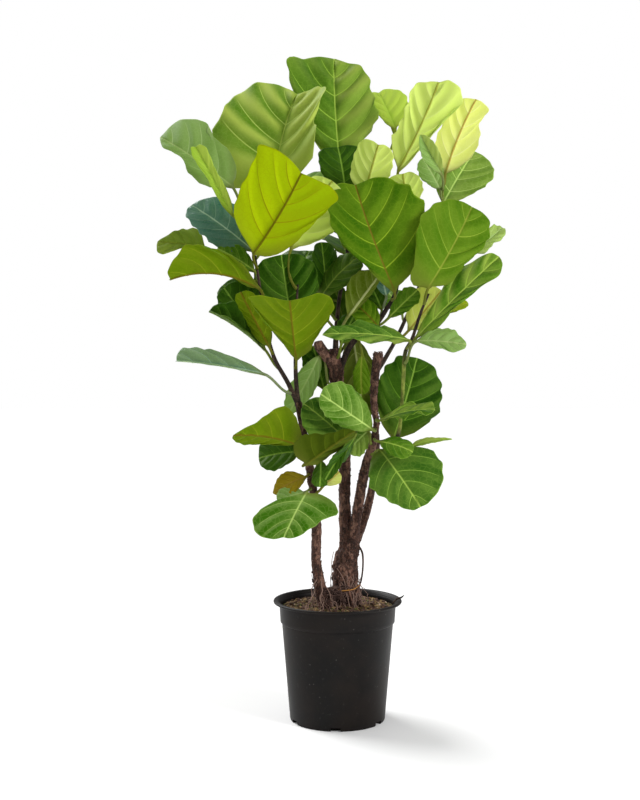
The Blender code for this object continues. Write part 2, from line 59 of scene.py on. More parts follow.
# %% Stems and leaves
STEMS = {
    "left": [
        (-3.3, -3.5, 19, 1.5), (-3.3, -3.5, 24, 1.45), (-4.0, -3.2, 28, 1.2), (-4.5, -3, 34, 1.0),
        (-4.4, -3, 40, 1.0), (-4.8, -3, 46, 0.85), (-5.8, -3, 53, 0.85), (-7.0, -3.5, 60, 0.75),
        (-8.2, -5, 67, 0.7)],
    "left_upright": [
        (-8.0, -4.8, 66, 0.6), (-8.5, -5.5, 70, 0.55), (-8.7, -6, 75, 0.5), (-8.6, -6.5, 82, 0.4),
        (-8.4, -6.5, 88, 0.35), (-8.2, -6, 91, 0.3)],
    "left_branch": [
        (-8.0, -4.8, 66, 0.6), (-10.3, -6, 71, 0.55), (-13.0, -7, 76, 0.5), (-14.6, -8, 82, 0.45),
        (-15.5, -9, 88, 0.4), (-16.5, -10, 95, 0.35), (-18.0, -9, 102, 0.3), (-19.5, -7, 106, 0.25)],
    "main": [
        (1.8, 0, 18.5, 3.0), (1.7, 0, 25, 2.8), (1.6, 0, 32, 2.6), (2.5, 0, 36, 2.1), (3.0, 0.2, 38, 1.6)],
    "middle": [
        (2.0, 0, 33, 1.7), (1.8, 0.3, 39, 1.45), (1.5, 1, 45, 1.2), (1.5, 1.5, 51, 1.2),
        (1.5, 1.5, 57, 1.2), (1.0, 1.5, 64, 1.2), (0.0, 1.5, 70, 1.4), (-0.4, 1.5, 74, 1.5),
        (-0.7, 1.5, 78, 1.0)],
    "stump": [(-0.3, 1.5, 73, 1.0), (-2.2, 0.8, 76, 1.0), (-3.8, 0.2, 78.5, 1.1), (-4.0, 0, 79.5, 0.8)],
    "upper": [
        (-0.5, 1.5, 75, 0.7), (-0.3, 2, 81, 0.6), (0.3, 2.5, 88, 0.5), (1.4, 3, 94, 0.5),
        (2.2, 4, 100, 0.45), (1.6, 4.5, 107, 0.4), (0.4, 5, 114, 0.35), (-0.5, 5, 118, 0.3)],
    "cross": [
        (0.2, 1.5, 73, 0.7), (3.0, 1, 79, 0.65), (7.5, 0, 82.5, 0.6), (10.0, -2, 86, 0.55),
        (12.0, -3, 90, 0.5), (13.0, -1, 98, 0.4), (12.8, 1, 106, 0.35), (12.4, 2, 113, 0.3)],
    "right": [
        (2.6, 0, 35, 1.5), (3.8, -0.8, 42, 1.1), (4.8, -1, 48, 1.05), (5.6, -1, 52, 1.05),
        (7.0, -1, 57, 1.0), (8.1, -0.5, 62, 0.65), (7.6, 0, 66, 0.65), (7.7, 0, 71, 0.85),
        (8.4, 0, 76, 1.0), (8.5, 0, 77, 0.9)],
    "right_back": [
        (3.0, 0.4, 36, 1.3), (5.6, 1.4, 42, 0.95), (7.2, 2, 48, 0.8), (8.2, 2, 54, 0.7), (8.2, 0.8, 60, 0.6)],
    "side": [
        (7.6, 1.2, 55, 0.55), (10.5, -1, 57, 0.5), (12.4, -4, 60, 0.5), (13.0, -6, 66, 0.45),
        (13.3, -7, 72, 0.5), (13.6, -7.5, 77, 0.5), (15.0, -8, 80, 0.45), (16.6, -8.5, 85, 0.4),
        (18.2, -9, 89, 0.35)],
    "far": [
        (8.0, 0, 73, 0.6), (9.8, 2, 75.5, 0.55), (13.0, 5, 81, 0.5), (17.0, 7, 90, 0.45),
        (20.5, 7.5, 100, 0.4), (22.3, 7, 108, 0.35), (22.6, 6.5, 114, 0.3)],
}
ROOTS = [
    [(3.6, -0.4, 37.5, 0.25), (5.2, -1.2, 35, 0.22), (5.0, -1.8, 30, 0.2), (3.6, -2.2, 26, 0.25),
     (3.0, -2.0, 22, 0.3)],
    [(0.4, -1.6, 32, 0.25), (0.4, -2.9, 28, 0.3), (0.8, -3.3, 25, 0.3), (0.9, -2.6, 21, 0.35)],
    [(2.6, -1.8, 33, 0.25), (2.2, -2.9, 29, 0.3), (2.8, -3.3, 25, 0.3), (2.4, -2.4, 21, 0.35)],
]
# name, stem, height on it, blade's base, tip, width, upper side's heading and rise, arch, fold, tone
LEAVES = [
    ("leaf_01", "left_branch", 105, (-21.6, -7, 110.9), (-36.7, -1.5, 121.6), 18.5, (-80, 18), 25, 8, "mid"),
    ("leaf_02", "left_branch", 103, (-21.3, -9, 104.8), (-28.6, -9, 118.4), 9, (-90, 10), 20, 20, "young"),
    ("leaf_03", "upper", 113, (-13.3, -3, 111.3), (-8.5, 6, 132.0), 22, (-90, 20), 20, 12, "mid"),
    ("leaf_04", "upper", 117, (0.6, 7, 116.9), (-0.6, 14.8, 141.5), 18, (-90, 15), 15, 10, "mid"),
    ("leaf_05", "left_branch", 94, (-16.8, -13, 96.8), (-7.3, -17.6, 111.9), 21, (90, 10), 10, 8, "young"),
    ("leaf_06", "left_branch", 92, (-17.6, -8, 98), (-30.2, -3, 107.4), 14, (-72, 22), 20, 10, "grey"),
    ("leaf_07", "left_branch", 91, (-28.0, 3, 99.3), (-38.0, 3, 100.4), 11, (-90, 25), 20, 8, "olive"),
    ("leaf_08", "left_branch", 84, (-16.2, -13, 90.1), (-33.3, -14, 91.4), 15, (90, 25), 20, 10, "olive"),
    ("leaf_09", "left_branch", 80, (-17.2, -2, 81.8), (-23.6, -2, 90.5), 8, (-90, 20), 15, 10, "mid"),
    ("leaf_10", "left_upright", 90, (-9.5, -4, 99), (-1.5, -2, 114), 13, (90, 20), 10, 8, "young"),
    ("leaf_11", "left_upright", 87, (-8, -2, 90), (-6, 8, 99), 14, (-90, 60), 15, 8, "deep"),
    ("leaf_12", "left_upright", 74, (-8.5, -9, 75.8), (-9.6, -17.6, 87.2), 18, (90, 40), 15, 8, "olive"),
    ("leaf_13", "left_branch", 77, (-14.0, -9, 78.4), (-19.6, -11, 89.2), 11, (90, 15), 10, 20, "olive"),
    ("leaf_14", "left_upright", 83, (-15.5, 4, 84.5), (-24.5, 6, 91.5), 9, (-90, 45), 15, 10, "deep"),
    ("leaf_15", "left_branch", 74, (-15.5, -6, 77.5), (-26.5, -6, 85.5), 9, (-80, 70), 15, 10, "mid"),
    ("leaf_16", "left_branch", 69, (-15.0, -9, 72.8), (-32.7, -9, 75.4), 11, (-90, 45), 12, 12, "grey"),
    ("leaf_17", "left", 57, (-8.4, -8.5, 58.6), (-21.2, -11, 60.4), 13, (90, 30), 15, 8, "olive"),
    ("leaf_18", "left", 55, (-6.5, -11.5, 54.8), (3.2, -15, 61.6), 11, (95, 30), 10, 25, "olive"),
    ("leaf_19", "middle", 58, (2.4, -6.6, 58.6), (-7.0, -6.6, 66.6), 9, (-90, 45), 15, 8, "deep"),
    ("leaf_20", "middle", 60, (3.3, -9.5, 60), (-2, -9.5, 53.5), 6, (-10, 30), 10, 10, "deep"),
    ("leaf_21", "right", 61, (6.8, -8, 61.6), (-3.6, -11, 68.8), 10, (-90, 22), 15, 8, "mid"),
    ("leaf_22", "right", 58, (5.5, -4.5, 59), (3, -5.5, 54.5), 5, (-90, 30), 10, 8, "mid"),
    ("leaf_23", "side", 57, (12, 4, 59), (17, 5, 76), 13.5, (-90, 20), 15, 8, "deep"),
    ("leaf_24", "right", 63, (9.5, -9, 63.8), (19, -11, 65), 7, (-90, 68), 15, 10, "mid"),
    ("leaf_25", "right", 59, (8.5, -8, 59), (15, -10, 57), 6.5, (-90, 50), 15, 8, "young"),
    ("leaf_26", "side", 58, (15.5, 0, 57.5), (24, 0, 59), 5, (-90, 62), 10, 8, "mid"),
    ("leaf_27", "right", 56, (8.7, -5, 57), (16.4, -12.5, 46.2), 13.5, (-90, 30), 15, 8, "mid"),
    ("leaf_28", "left", 47, (-6.6, -8.5, 48.4), (-10.8, -14.5, 40.4), 13, (-90, 45), 15, 8, "bright"),
    ("leaf_29", "left", 52, (-6.6, -5, 51.6), (-13.4, -5, 48.2), 6, (-90, 30), 10, 10, "gold"),
    ("leaf_30", "left", 56, (-8, -2, 56.5), (-16.5, -1, 55), 8, (-90, 35), 15, 8, "deep"),
    ("leaf_31", "left", 57, (-3.6, -5.5, 55), (-3.8, -5.5, 49.5), 4, (-70, 10), 5, 10, "deep"),
    ("leaf_32", "cross", 111, (12.9, 4, 115.7), (20.7, -2, 132.8), 12.5, (60, 20), 15, 8, "pale"),
    ("leaf_33", "upper", 110, (12.5, 9.5, 125.4), (9.2, 14, 134.0), 8, (-90, 10), 10, 8, "young"),
    ("leaf_34", "far", 113, (23.2, 7, 115.7), (28.9, 1.5, 130.0), 10, (90, 20), 10, 8, "pale"),
    ("leaf_35", "far", 112, (21.5, 0, 114.5), (17, -2, 122), 6.5, (-100, 10), 10, 25, "young"),
    ("leaf_36", "far", 107, (23.5, 9, 110), (30.5, 9, 120.5), 11, (-90, 30), 10, 8, "mid"),
    ("leaf_37", "cross", 104, (15.3, 4, 107.1), (13.6, 0.5, 114.4), 4.5, (90, 10), 10, 8, "pale"),
    ("leaf_38", "cross", 88, (11.1, -11, 89.7), (3.5, -5, 111.3), 19.5, (-90, 10), 10, 8, "mid"),
    ("leaf_39", "side", 87, (17.9, -13.5, 90.2), (27.3, -5, 106.9), 14, (-70, 15), 10, 10, "mid"),
    ("leaf_40", "side", 79, (15.6, -10, 80.0), (32.4, -9, 96.4), 11, (-112, 25), 20, 10, "mid"),
    ("leaf_41", "side", 75, (15.6, -11.5, 79.4), (25.4, -13, 78.6), 10, (-90, 32), 15, 8, "mid"),
    ("leaf_42", "side", 78, (14.0, -12, 79.6), (-3.2, -14, 80.6), 9, (-90, 50), 15, 8, "mid"),
    ("leaf_43", "far", 79, (15, -1, 82), (21.5, -2, 90), 8, (-90, 20), 10, 8, "young"),
    ("leaf_44", "far", 94, (27.2, 4, 98.1), (35.4, 8, 104.0), 7, (-90, 35), 10, 20, "grey"),
    ("leaf_45", "upper", 108, (1.6, 1.5, 110.9), (0.1, 4.8, 120.6), 8, (-90, 20), 10, 8, "deep"),
    ("leaf_46", "upper", 104, (5.6, -2, 110), (8.2, -5.5, 119.4), 9, (90, 20), 10, 20, "pale"),
    ("leaf_47", "upper", 84, (-2.5, -1, 88), (-3.5, -1.5, 100), 7, (-60, 20), 10, 10, "deep"),
    ("leaf_48", "upper", 82, (-3.5, -3.5, 88.5), (4, -3, 95), 7, (-110, 40), 15, 10, "deep"),
    ("leaf_49", "upper", 80, (2, -7, 84.5), (8.5, -9, 93), 8, (90, 30), 10, 8, "olive"),
    ("leaf_50", "cross", 80, (5, -3, 76.5), (5, -3, 68.5), 3.5, (-90, 10), 10, 8, "olive"),
    ("leaf_51", "upper", 110, (-2, 12, 112), (-9, 26, 117), 16, (-100, 60), 20, 8, "mid"),
    ("leaf_52", "upper", 98, (3, 10, 98), (5, 25, 101), 17, (-90, 65), 25, 8, "deep"),
    ("leaf_53", "far", 98, (19, 13, 101), (17, 27, 108), 15, (-90, 60), 20, 8, "mid"),
    ("leaf_54", "upper", 88, (-4, 8, 90), (-13, 20, 94), 15, (-60, 65), 20, 8, "deep"),
    ("leaf_55", "far", 84, (14, 11, 86), (11, 23, 91), 14, (-90, 50), 20, 8, "young"),
    ("leaf_56", "middle", 70, (-3.9, 0.5, 76.4), (-10.4, 0.5, 64.4), 6, (-70, 20), 10, 8, "grey"),
]
OVAL_LEAVES = ("leaf_03", "leaf_05", "leaf_23", "leaf_27", "leaf_28", "leaf_38")
print("stems:", len(STEMS), "leaves:", len(LEAVES))

# %% [markdown]
# ## Helpers
#
# Every surface below is a grid of points worked out as whole arrays. `grid_faces` joins the points
# into quads, `make_piece` puts them in a mesh, and `value_noise` gives the smooth randomness that
# bark, soil and leaf edges need. Blender's own noise could be called point by point, but an array
# version is a hundred times faster on meshes of this size.


# %% Grids, meshes and noise
def unit(rows):
    """Each row divided by its own length."""
    return rows / np.maximum(np.linalg.norm(rows, axis=-1, keepdims=True), 1e-12)


def bell(distance, width):
    """e^(-(d / w)^2): 1 where the distance d is nothing, and nearly 0 from twice the width w on."""
    return np.exp(-((distance / width) ** 2))


def grid_faces(rows, columns, closed, first=0, flip=False):
    """Quads between neighbouring points of a grid; closed joins its last column to its first."""
    r, c = np.meshgrid(np.arange(rows - 1), np.arange(columns if closed else columns - 1), indexing="ij")
    after = (c + 1) % columns
    here, above = r * columns, (r + 1) * columns
    quads = np.stack([here + c, here + after, above + after, above + c], -1).reshape(-1, 4) + first
    return quads[:, ::-1] if flip else quads


def tube_faces(rows, sides, first=0):
    """The wall of a tube made of rings, and its two end caps."""
    last = first + (rows - 1) * sides
    caps = [list(range(first, first + sides))[::-1], list(range(last, last + sides))]
    return grid_faces(rows, sides, True, first).tolist() + caps


def turns(sides):
    """Evenly spaced angles of a full turn."""
    return 2 * np.pi * np.arange(sides) / sides


BOX_CORNERS = np.array([[x, y, z] for x in (-1, 1) for y in (-1, 1) for z in (-1, 1)], dtype=float)
BOX_QUADS = np.array([[0, 1, 3, 2], [4, 6, 7, 5], [0, 4, 5, 1], [2, 3, 7, 6], [0, 2, 6, 4], [1, 5, 7, 3]])


def box_faces(count):
    """Six quads for each of many boxes, whose corners come in the order of BOX_CORNERS."""
    return (BOX_QUADS + 8 * np.arange(count)[:, None, None]).reshape(-1, 4)


LATTICE, LATTICE_PRIMES = 4096, np.array([73856093, 19349663, 83492791])


def value_noise(points, scale, seed):
    """Random values on a lattice of cells, blended between corners by 3t^2 - 2t^3; from -1 to 1."""
    table = np.random.default_rng(seed).random(LATTICE) * 2 - 1
    spot = points * np.asarray(scale)
    cell = np.floor(spot).astype(np.int64)
    t = spot - cell
    t = t * t * (3 - 2 * t)
    total = 0
    for corner in range(8):
        step = np.array([corner & 1, corner >> 1 & 1, corner >> 2])
        key = (cell + step) * LATTICE_PRIMES
        weight = np.prod(np.where(step, t, 1 - t), axis=-1)
        total = total + weight * table[(key[..., 0] ^ key[..., 1] ^ key[..., 2]) & (LATTICE - 1)]
    return total


def make_piece(name, points, faces, material, nodes=(), smooth=True):
    """A mesh object from points and faces, riding on the plant, in place of the given solids."""
    mesh = bpy.data.meshes.new(name)
    mesh.from_pydata(points.tolist(), [], [list(face) for face in faces])
    mesh.polygons.foreach_set("use_smooth", np.full(len(mesh.polygons), smooth))
    mesh.materials.append(material)
    piece = bpy.data.objects.new(name, mesh)
    bpy.context.scene.collection.objects.link(piece)
    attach(piece, "root")
    if nodes:
        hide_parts(*nodes)
    return piece


def add_attribute(mesh, name, values):
    """One number for each point, which a material can read by its name."""
    numbers = np.asarray(values, dtype=np.float32)
    mesh.attributes.new(name, "FLOAT", "POINT").data.foreach_set("value", numbers)


def apply_modifiers(piece):
    """Works a piece's modifiers into its mesh."""
    bpy.context.view_layer.update()
    finished = piece.evaluated_get(bpy.context.evaluated_depsgraph_get())
    piece.data = bpy.data.meshes.new_from_object(finished)
    piece.modifiers.clear()


def smooth_path(points, steps):
    """Catmull-Rom curve through the points, with `steps` points for each span."""
    rows = np.array(points, dtype=float)
    ends = np.vstack([2 * rows[0] - rows[1], rows, 2 * rows[-1] - rows[-2]])
    t = (np.arange(steps) / steps)[None, :, None]
    a, b, c, d = (ends[k:len(rows) - 1 + k][:, None] for k in range(4))
    square, cube = 2 * a - 5 * b + 4 * c - d, 3 * b - a - 3 * c + d
    body = 0.5 * (2 * b + (c - a) * t + square * t**2 + cube * t**3)
    return np.vstack([body.reshape(-1, rows.shape[1]), rows[-1:]])


print("helpers ready")

# %% [markdown]
# ## Materials
#
# Each finish is a Principled shader with its pattern worked out by nodes, so nothing is painted
# and nothing repeats. A small helper keeps the node code short: it adds a node, sets its sockets
# by name and links what it is given.


# %% Node helper
class Nodes:
    """Adds nodes to one material: a number or colour sets a socket, a socket is linked to it."""

    def __init__(self, name):
        self.material = bpy.data.materials.new(name)
        self.material.use_nodes = True
        self.tree = self.material.node_tree
        self.shader = self.tree.nodes["Principled BSDF"]

    def put(self, node, sockets):
        for key, value in sockets.items():
            socket = node.inputs[key]
            if isinstance(value, bpy.types.NodeSocket):
                self.tree.links.new(value, socket)
            else:
                socket.default_value = value
        return node

    def add(self, kind, sockets, **settings):
        node = self.tree.nodes.new("ShaderNode" + kind)
        for key, value in settings.items():
            setattr(node, key, value)
        return self.put(node, sockets)

    def math(self, operation, a, b=0.0, c=0.0):
        return self.add("Math", {0: a, 1: b, 2: c}, operation=operation).outputs[0]

    def mix(self, factor, a, b, blend="MIX"):
        node = self.tree.nodes.new("ShaderNodeMix")
        node.data_type, node.blend_type = "RGBA", blend
        self.put(node, {0: factor, 6: a, 7: b})
        return node.outputs[2]

    def attribute(self, name):
        return self.add("Attribute", {}, attribute_name=name).outputs["Fac"]

    def object_coordinates(self):
        return self.add("TexCoord", {}).outputs["Object"]

    def noise(self, vector, scale, detail=4.0, rough=0.6):
        sockets = {"Vector": vector, "Scale": scale, "Detail": detail, "Roughness": rough}
        return self.add("TexNoise", sockets).outputs["Fac"]

    def band(self, value, low, high):
        """0 below low, 1 above high and a smooth step between."""
        sockets = {"Value": value, "From Min": low, "From Max": high}
        return self.add("MapRange", sockets, interpolation_type="SMOOTHSTEP").outputs[0]

    def fade(self, value, low, high):
        """1 below low, 0 above high and a smooth step between."""
        return self.math("SUBTRACT", 1.0, self.band(value, low, high))

    def coat(self, surface, where, share, over):
        """Lays the colour `over` on a surface where `where` is 1, as strongly as `share` says."""
        return self.mix(self.math("MULTIPLY", where, share), surface, over)

    def bump(self, height, strength, distance):
        return self.add("Bump", {"Height": height, "Strength": strength, "Distance": distance}).outputs[0]

    def finish(self, base, rough, others=None):
        """Gives the shader its colour, roughness and other sockets, and returns the material."""
        self.put(self.shader, {"Base Color": base, "Roughness": rough} | (others or {}))
        return self.material


def colour(red, green, blue):
    return (red, green, blue, 1.0)


print("node helper ready")

# %% [markdown]
# ### Leaf finish
#
# A fig leaf is waxy and darker above, duller and paler below, with a thick midrib, a few widely
# spaced pairs of side veins and a fine net between them. The leaf's grid stores at each point
# its `lane`, which counts the side veins, `rib`, the distance from the midrib in metres, `across`,
# which is 1 or -1 at the rim, `under`, which is 1 on the lower side, `stalk`, which is 1 on the
# stalk, and `light`, how far painted sunlight pales the blade there. The shader draws the thin lines
# from those, so they stay sharp however near the camera comes, and paints pale light on one side of
# each swell between the veins. Light shines through a leaf, so a Translucent shader is mixed in.

# %% Leaf materials
# tone: upper colour, under colour, upper veins, under veins, midrib above, midrib below and the
# colour of the light that comes through, all in thousandths, then how dull the wax is, and the
# share of the light that comes through
TONES = {
    "deep": ((7, 51, 1), (44, 100, 6), (110, 250, 20), (220, 340, 70),
             (220, 380, 50), (220, 300, 80), (250, 400, 10), 0.34, 0.10),
    "mid": ((34, 140, 2), (93, 204, 7), (380, 600, 70), (330, 460, 80),
            (420, 600, 90), (300, 380, 60), (450, 580, 10), 0.36, 0.20),
    # sunny is a lighter, yellower copy of mid: painted sunlight for a leaf that the sun falls on
    "sunny": ((95, 245, 6), (200, 340, 40), (560, 720, 150), (400, 500, 110),
              (560, 700, 140), (360, 420, 80), (650, 750, 60), 0.40, 0.28),
    "warm": ((46, 152, 1), (96, 208, 1), (360, 540, 30), (330, 460, 40),
             (210, 150, 15), (220, 180, 20), (450, 550, 0), 0.42, 0.24),
    "gloss": ((16, 96, 5), (56, 150, 9), (360, 580, 80), (300, 430, 90),
              (420, 600, 100), (300, 380, 70), (340, 520, 20), 0.24, 0.14),
    "bright": ((40, 158, 3), (145, 289, 25), (560, 760, 190), (380, 520, 140),
               (560, 760, 200), (380, 500, 120), (400, 620, 30), 0.34, 0.20),
    "fresh": ((345, 598, 34), (414, 644, 46), (560, 720, 120), (480, 600, 100),
              (500, 680, 100), (400, 500, 80), (750, 850, 80), 0.42, 0.34),
    "hazy": ((190, 345, 52), (258, 410, 100), (450, 620, 220), (400, 540, 200),
             (420, 560, 180), (360, 460, 140), (500, 700, 150), 0.34, 0.24),
    "olive": ((66, 180, 1), (118, 215, 1), (300, 440, 40), (290, 360, 15),
              (280, 360, 40), (180, 140, 8), (550, 550, 0), 0.42, 0.28),
    # shade and dusk are darker olive greens: painted shade for leaves that lie in the shade of others
    "shade": ((30, 95, 4), (66, 110, 2), (220, 330, 50), (240, 290, 70),
              (260, 360, 60), (400, 440, 180), (400, 400, 10), 0.46, 0.12),
    "dusk": ((30, 95, 2), (34, 60, 1), (120, 200, 20), (90, 130, 6),
             (180, 260, 40), (110, 120, 10), (350, 380, 0), 0.46, 0.12),
    "young": ((330, 460, 2), (335, 480, 1), (560, 640, 50), (290, 240, 2),
              (480, 540, 50), (130, 90, 3), (600, 660, 10), 0.46, 0.36),
    "pale": ((496, 661, 130), (732, 861, 224), (600, 720, 250), (760, 840, 330),
             (400, 460, 100), (340, 340, 50), (950, 1000, 250), 0.50, 0.42),
    "lemon": ((680, 740, 170), (760, 820, 240), (860, 880, 480), (880, 880, 500),
              (420, 300, 60), (460, 300, 70), (950, 950, 380), 0.50, 0.46),
    "grey": ((43, 152, 93), (192, 348, 168), (240, 380, 260), (400, 520, 300),
             (380, 540, 360), (320, 430, 220), (200, 450, 200), 0.10, 0.08),
    "gold": ((260, 190, 2), (300, 230, 6), (420, 330, 40), (320, 190, 20),
             (360, 240, 30), (260, 150, 20), (700, 500, 10), 0.44, 0.22),
}


# painted sunlight: the pale colour laid on the half of a blade that the sun shines on, and the stalk's colour
LIT, LIT_YOUNG = (0.660, 0.760, 0.150), (0.560, 0.720, 0.002)
STALK = (0.130, 0.140, 0.022)
# the tint of the shine on bluish leaves and on the others
COOL_WAX, GREEN_WAX = (0.85, 1.0, 0.95), (0.75, 0.95, 0.15)


def leaf_material(tone):
    """Blade, cloudy patches, painted light on swells and halves, net, veins, midrib, rim, stalk, in order."""
    *shades, dull, through = TONES[tone]
    shades = [colour(*(part / 1000 for part in shade)) for shade in shades]
    n = Nodes("leaf_" + tone)
    below = n.attribute("under")
    place = n.object_coordinates()
    cloud = n.noise(place, 11.0, 2.0)
    grain = n.noise(place, 320.0, 3.0)
    across = n.math("ABSOLUTE", n.attribute("across"))
    lane = n.attribute("lane")
    turn = n.math("FRACT", n.math("ADD", lane, 0.5))
    from_vein = n.math("ABSOLUTE", n.math("SUBTRACT", turn, 0.5))
    thin = n.math("MULTIPLY_ADD", across, -0.022, 0.038)
    vein = n.fade(from_vein, n.math("MULTIPLY", thin, 0.45), thin)
    vein = n.math("MULTIPLY", vein, n.fade(across, 0.80, 0.98))
    from_rib = n.math("ABSOLUTE", n.attribute("rib"))
    midrib = n.fade(from_rib, 0.0010, 0.0024)
    halo = n.fade(n.math("MINIMUM", from_vein, n.math("MULTIPLY", from_rib, 12.0)), 0.0, 0.24)
    net = n.add("TexVoronoi", {"Vector": place, "Scale": 95.0}, feature="DISTANCE_TO_EDGE")
    net = n.fade(net.outputs["Distance"], 0.010, 0.085)
    blade, veins, rib = (n.mix(below, shades[k], shades[k + 1]) for k in (0, 2, 4))
    surface = n.mix(n.band(cloud, 0.36, 0.64), blade, n.mix(0.16, blade, veins))
    # painted light: one side of each swell between two veins is paled with the vein colour, as the sun would
    # light it
    painted_swell_light = n.band(n.math("SINE", n.math("MULTIPLY", lane, 2 * math.pi)), -0.2, 1.0)
    surface = n.coat(surface, painted_swell_light, 0.13, veins)
    # painted sunlight: where the `light` mark says, the surface turns to the pale sunlit colour
    surface = n.mix(n.attribute("light"), surface, colour(*(LIT_YOUNG if tone == "young" else LIT)))
    for where, share in ((halo, 0.09), (net, 0.13), (vein, 0.92)):
        surface = n.coat(surface, where, share, veins)
    surface = n.coat(surface, midrib, 0.90, rib)
    surface = n.coat(surface, n.band(across, 0.972, 0.996), 0.45, veins)
    surface = n.coat(surface, n.attribute("stalk"), 0.75, colour(*STALK))
    relief = n.math("ADD", n.math("MULTIPLY", net, -0.5), n.math("MULTIPLY", grain, 0.25))
    normal = n.bump(relief, 0.30, 0.0005)
    rough = n.math("MULTIPLY_ADD", below, 0.15, dull + 0.12)
    rough = n.math("MULTIPLY_ADD", cloud, 0.12, rough)
    wax = colour(*(COOL_WAX if tone in ("grey", "hazy") else GREEN_WAX))
    n.finish(surface, rough, {"Normal": normal, "Specular IOR Level": 0.30, "Specular Tint": wax})
    back = n.add("BsdfTranslucent", {"Color": n.mix(0.45, surface, shades[6]), "Normal": normal})
    both = n.add("MixShader", {0: through, 1: n.shader.outputs[0], 2: back.outputs[0]})
    n.tree.links.new(both.outputs[0], n.tree.nodes["Material Output"].inputs["Surface"])
    return n.material


LEAF_FINISH = {tone: leaf_material(tone) for tone in TONES}
print("leaf finishes:", sorted(LEAF_FINISH))

# %% [markdown]
# ### Bark, soil and plastic
#
# Bark is reddish brown with grey-pink plates between dark cracks, and the young stems are green.
# Soil is a mix of ochre coir, brown bark and a little moss. The pot is black recycled plastic,
# which is never quite even: it has dull patches, dust and pale scuffs.


# %% Bark, soil and plastic
def bark_material(name, dark, brown, patch, speck):
    """Cracks between plates, pale patches and fine specks; where `young` is 1 the skin is green."""
    n = Nodes(name)
    place = n.object_coordinates()
    low = n.add("Mapping", {"Vector": place, "Scale": (1.0, 1.0, 2.0)}).outputs[0]
    tall = n.add("Mapping", {"Vector": place, "Scale": (1.0, 1.0, 0.5)}).outputs[0]
    patches = n.noise(tall, 48.0, 8.0, 0.68)
    rings = n.noise(low, 85.0, 6.0, 0.70)
    cracks = n.noise(tall, 260.0, 8.0, 0.75)
    specks = n.noise(place, 620.0, 3.0)
    base = n.mix(n.band(cracks, 0.40, 0.60), colour(*dark), colour(*brown))
    base = n.coat(base, n.band(patches, 0.49, 0.58), 0.85, colour(*patch))
    base = n.coat(base, n.band(rings, 0.53, 0.60), 0.75, colour(*dark))
    base = n.coat(base, n.fade(cracks, 0.36, 0.50), 0.65, colour(*dark))
    base = n.coat(base, n.band(specks, 0.57, 0.70), 0.5, colour(*speck))
    green = n.mix(n.band(patches, 0.4, 0.6), colour(0.120, 0.150, 0.020), colour(0.330, 0.400, 0.060))
    base = n.mix(n.attribute("young"), base, green)
    relief = n.math("ADD", cracks, n.math("MULTIPLY", specks, 0.4))
    return n.finish(base, 0.80, {"Normal": n.bump(relief, 0.7, 0.0020), "Specular IOR Level": 0.30})


def soil_material():
    """Coloured grains with pale fibres and patches of moss."""
    n = Nodes("soil")
    place = n.object_coordinates()
    grains = n.add("TexVoronoi", {"Vector": place, "Scale": 230.0}).outputs["Color"]
    grain = n.add("SeparateColor", {0: grains}).outputs[0]
    moss = n.noise(place, 38.0, 4.0)
    fine = n.noise(place, 500.0, 6.0, 0.7)
    base = n.mix(n.band(grain, 0.15, 0.75), colour(0.020, 0.009, 0.004), colour(0.150, 0.076, 0.028))
    base = n.coat(base, n.band(fine, 0.52, 0.66), 0.6, colour(0.230, 0.145, 0.065))
    base = n.coat(base, n.band(moss, 0.50, 0.62), 0.65, colour(0.095, 0.110, 0.016))
    relief = n.math("ADD", grain, n.math("MULTIPLY", fine, 0.8))
    return n.finish(base, 0.95, {"Normal": n.bump(relief, 0.8, 0.0030)})


def plastic_material():
    """Cloudy black with pale scuffs and dust."""
    n = Nodes("pot_plastic")
    place = n.object_coordinates()
    cloud = n.noise(place, 9.0, 4.0)
    fine = n.noise(place, 420.0, 4.0)
    dust = n.noise(place, 150.0, 2.0)
    spots = n.add("TexVoronoi", {"Vector": place, "Scale": 42.0}).outputs["Distance"]
    base = n.mix(n.band(cloud, 0.35, 0.65), colour(0.0040, 0.0034, 0.0032), colour(0.0100, 0.0070, 0.0056))
    base = n.coat(base, n.fade(spots, 0.035, 0.085), 0.45, colour(0.080, 0.075, 0.068))
    base = n.coat(base, n.band(dust, 0.62, 0.74), 0.20, colour(0.050, 0.048, 0.044))
    rough = n.math("MULTIPLY_ADD", cloud, 0.25, 0.34)
    return n.finish(base, rough, {"Normal": n.bump(fine, 0.12, 0.0004), "Specular IOR Level": 0.14})


def plain_material(name, shade, rough):
    """One colour with a fine grain."""
    n = Nodes(name)
    grain = n.noise(n.object_coordinates(), 600.0, 4.0)
    base = n.mix(n.band(grain, 0.3, 0.7), colour(*(0.6 * c for c in shade)), colour(*shade))
    return n.finish(base, rough)


BARK = bark_material(
    "bark", (0.014, 0.005, 0.003), (0.070, 0.026, 0.015), (0.240, 0.124, 0.086), (0.320, 0.205, 0.155))
TWIG = bark_material(
    "twig_bark", (0.008, 0.005, 0.003), (0.036, 0.020, 0.012), (0.085, 0.050, 0.034), (0.140, 0.095, 0.065))
SOIL = soil_material()
PLASTIC = plastic_material()
print("other finishes:", BARK.name, TWIG.name, SOIL.name, PLASTIC.name)

# %% [markdown]
# ## The pot
#
# A nursery pot is blown or moulded in one thin wall: a body that widens upward, a step out to a
# collar, and a rolled rim. Turning one outline round the axis gives all of it. The outline's round
# stretches are arcs, worked out by a formula, and the six drain notches are cut by boxes.

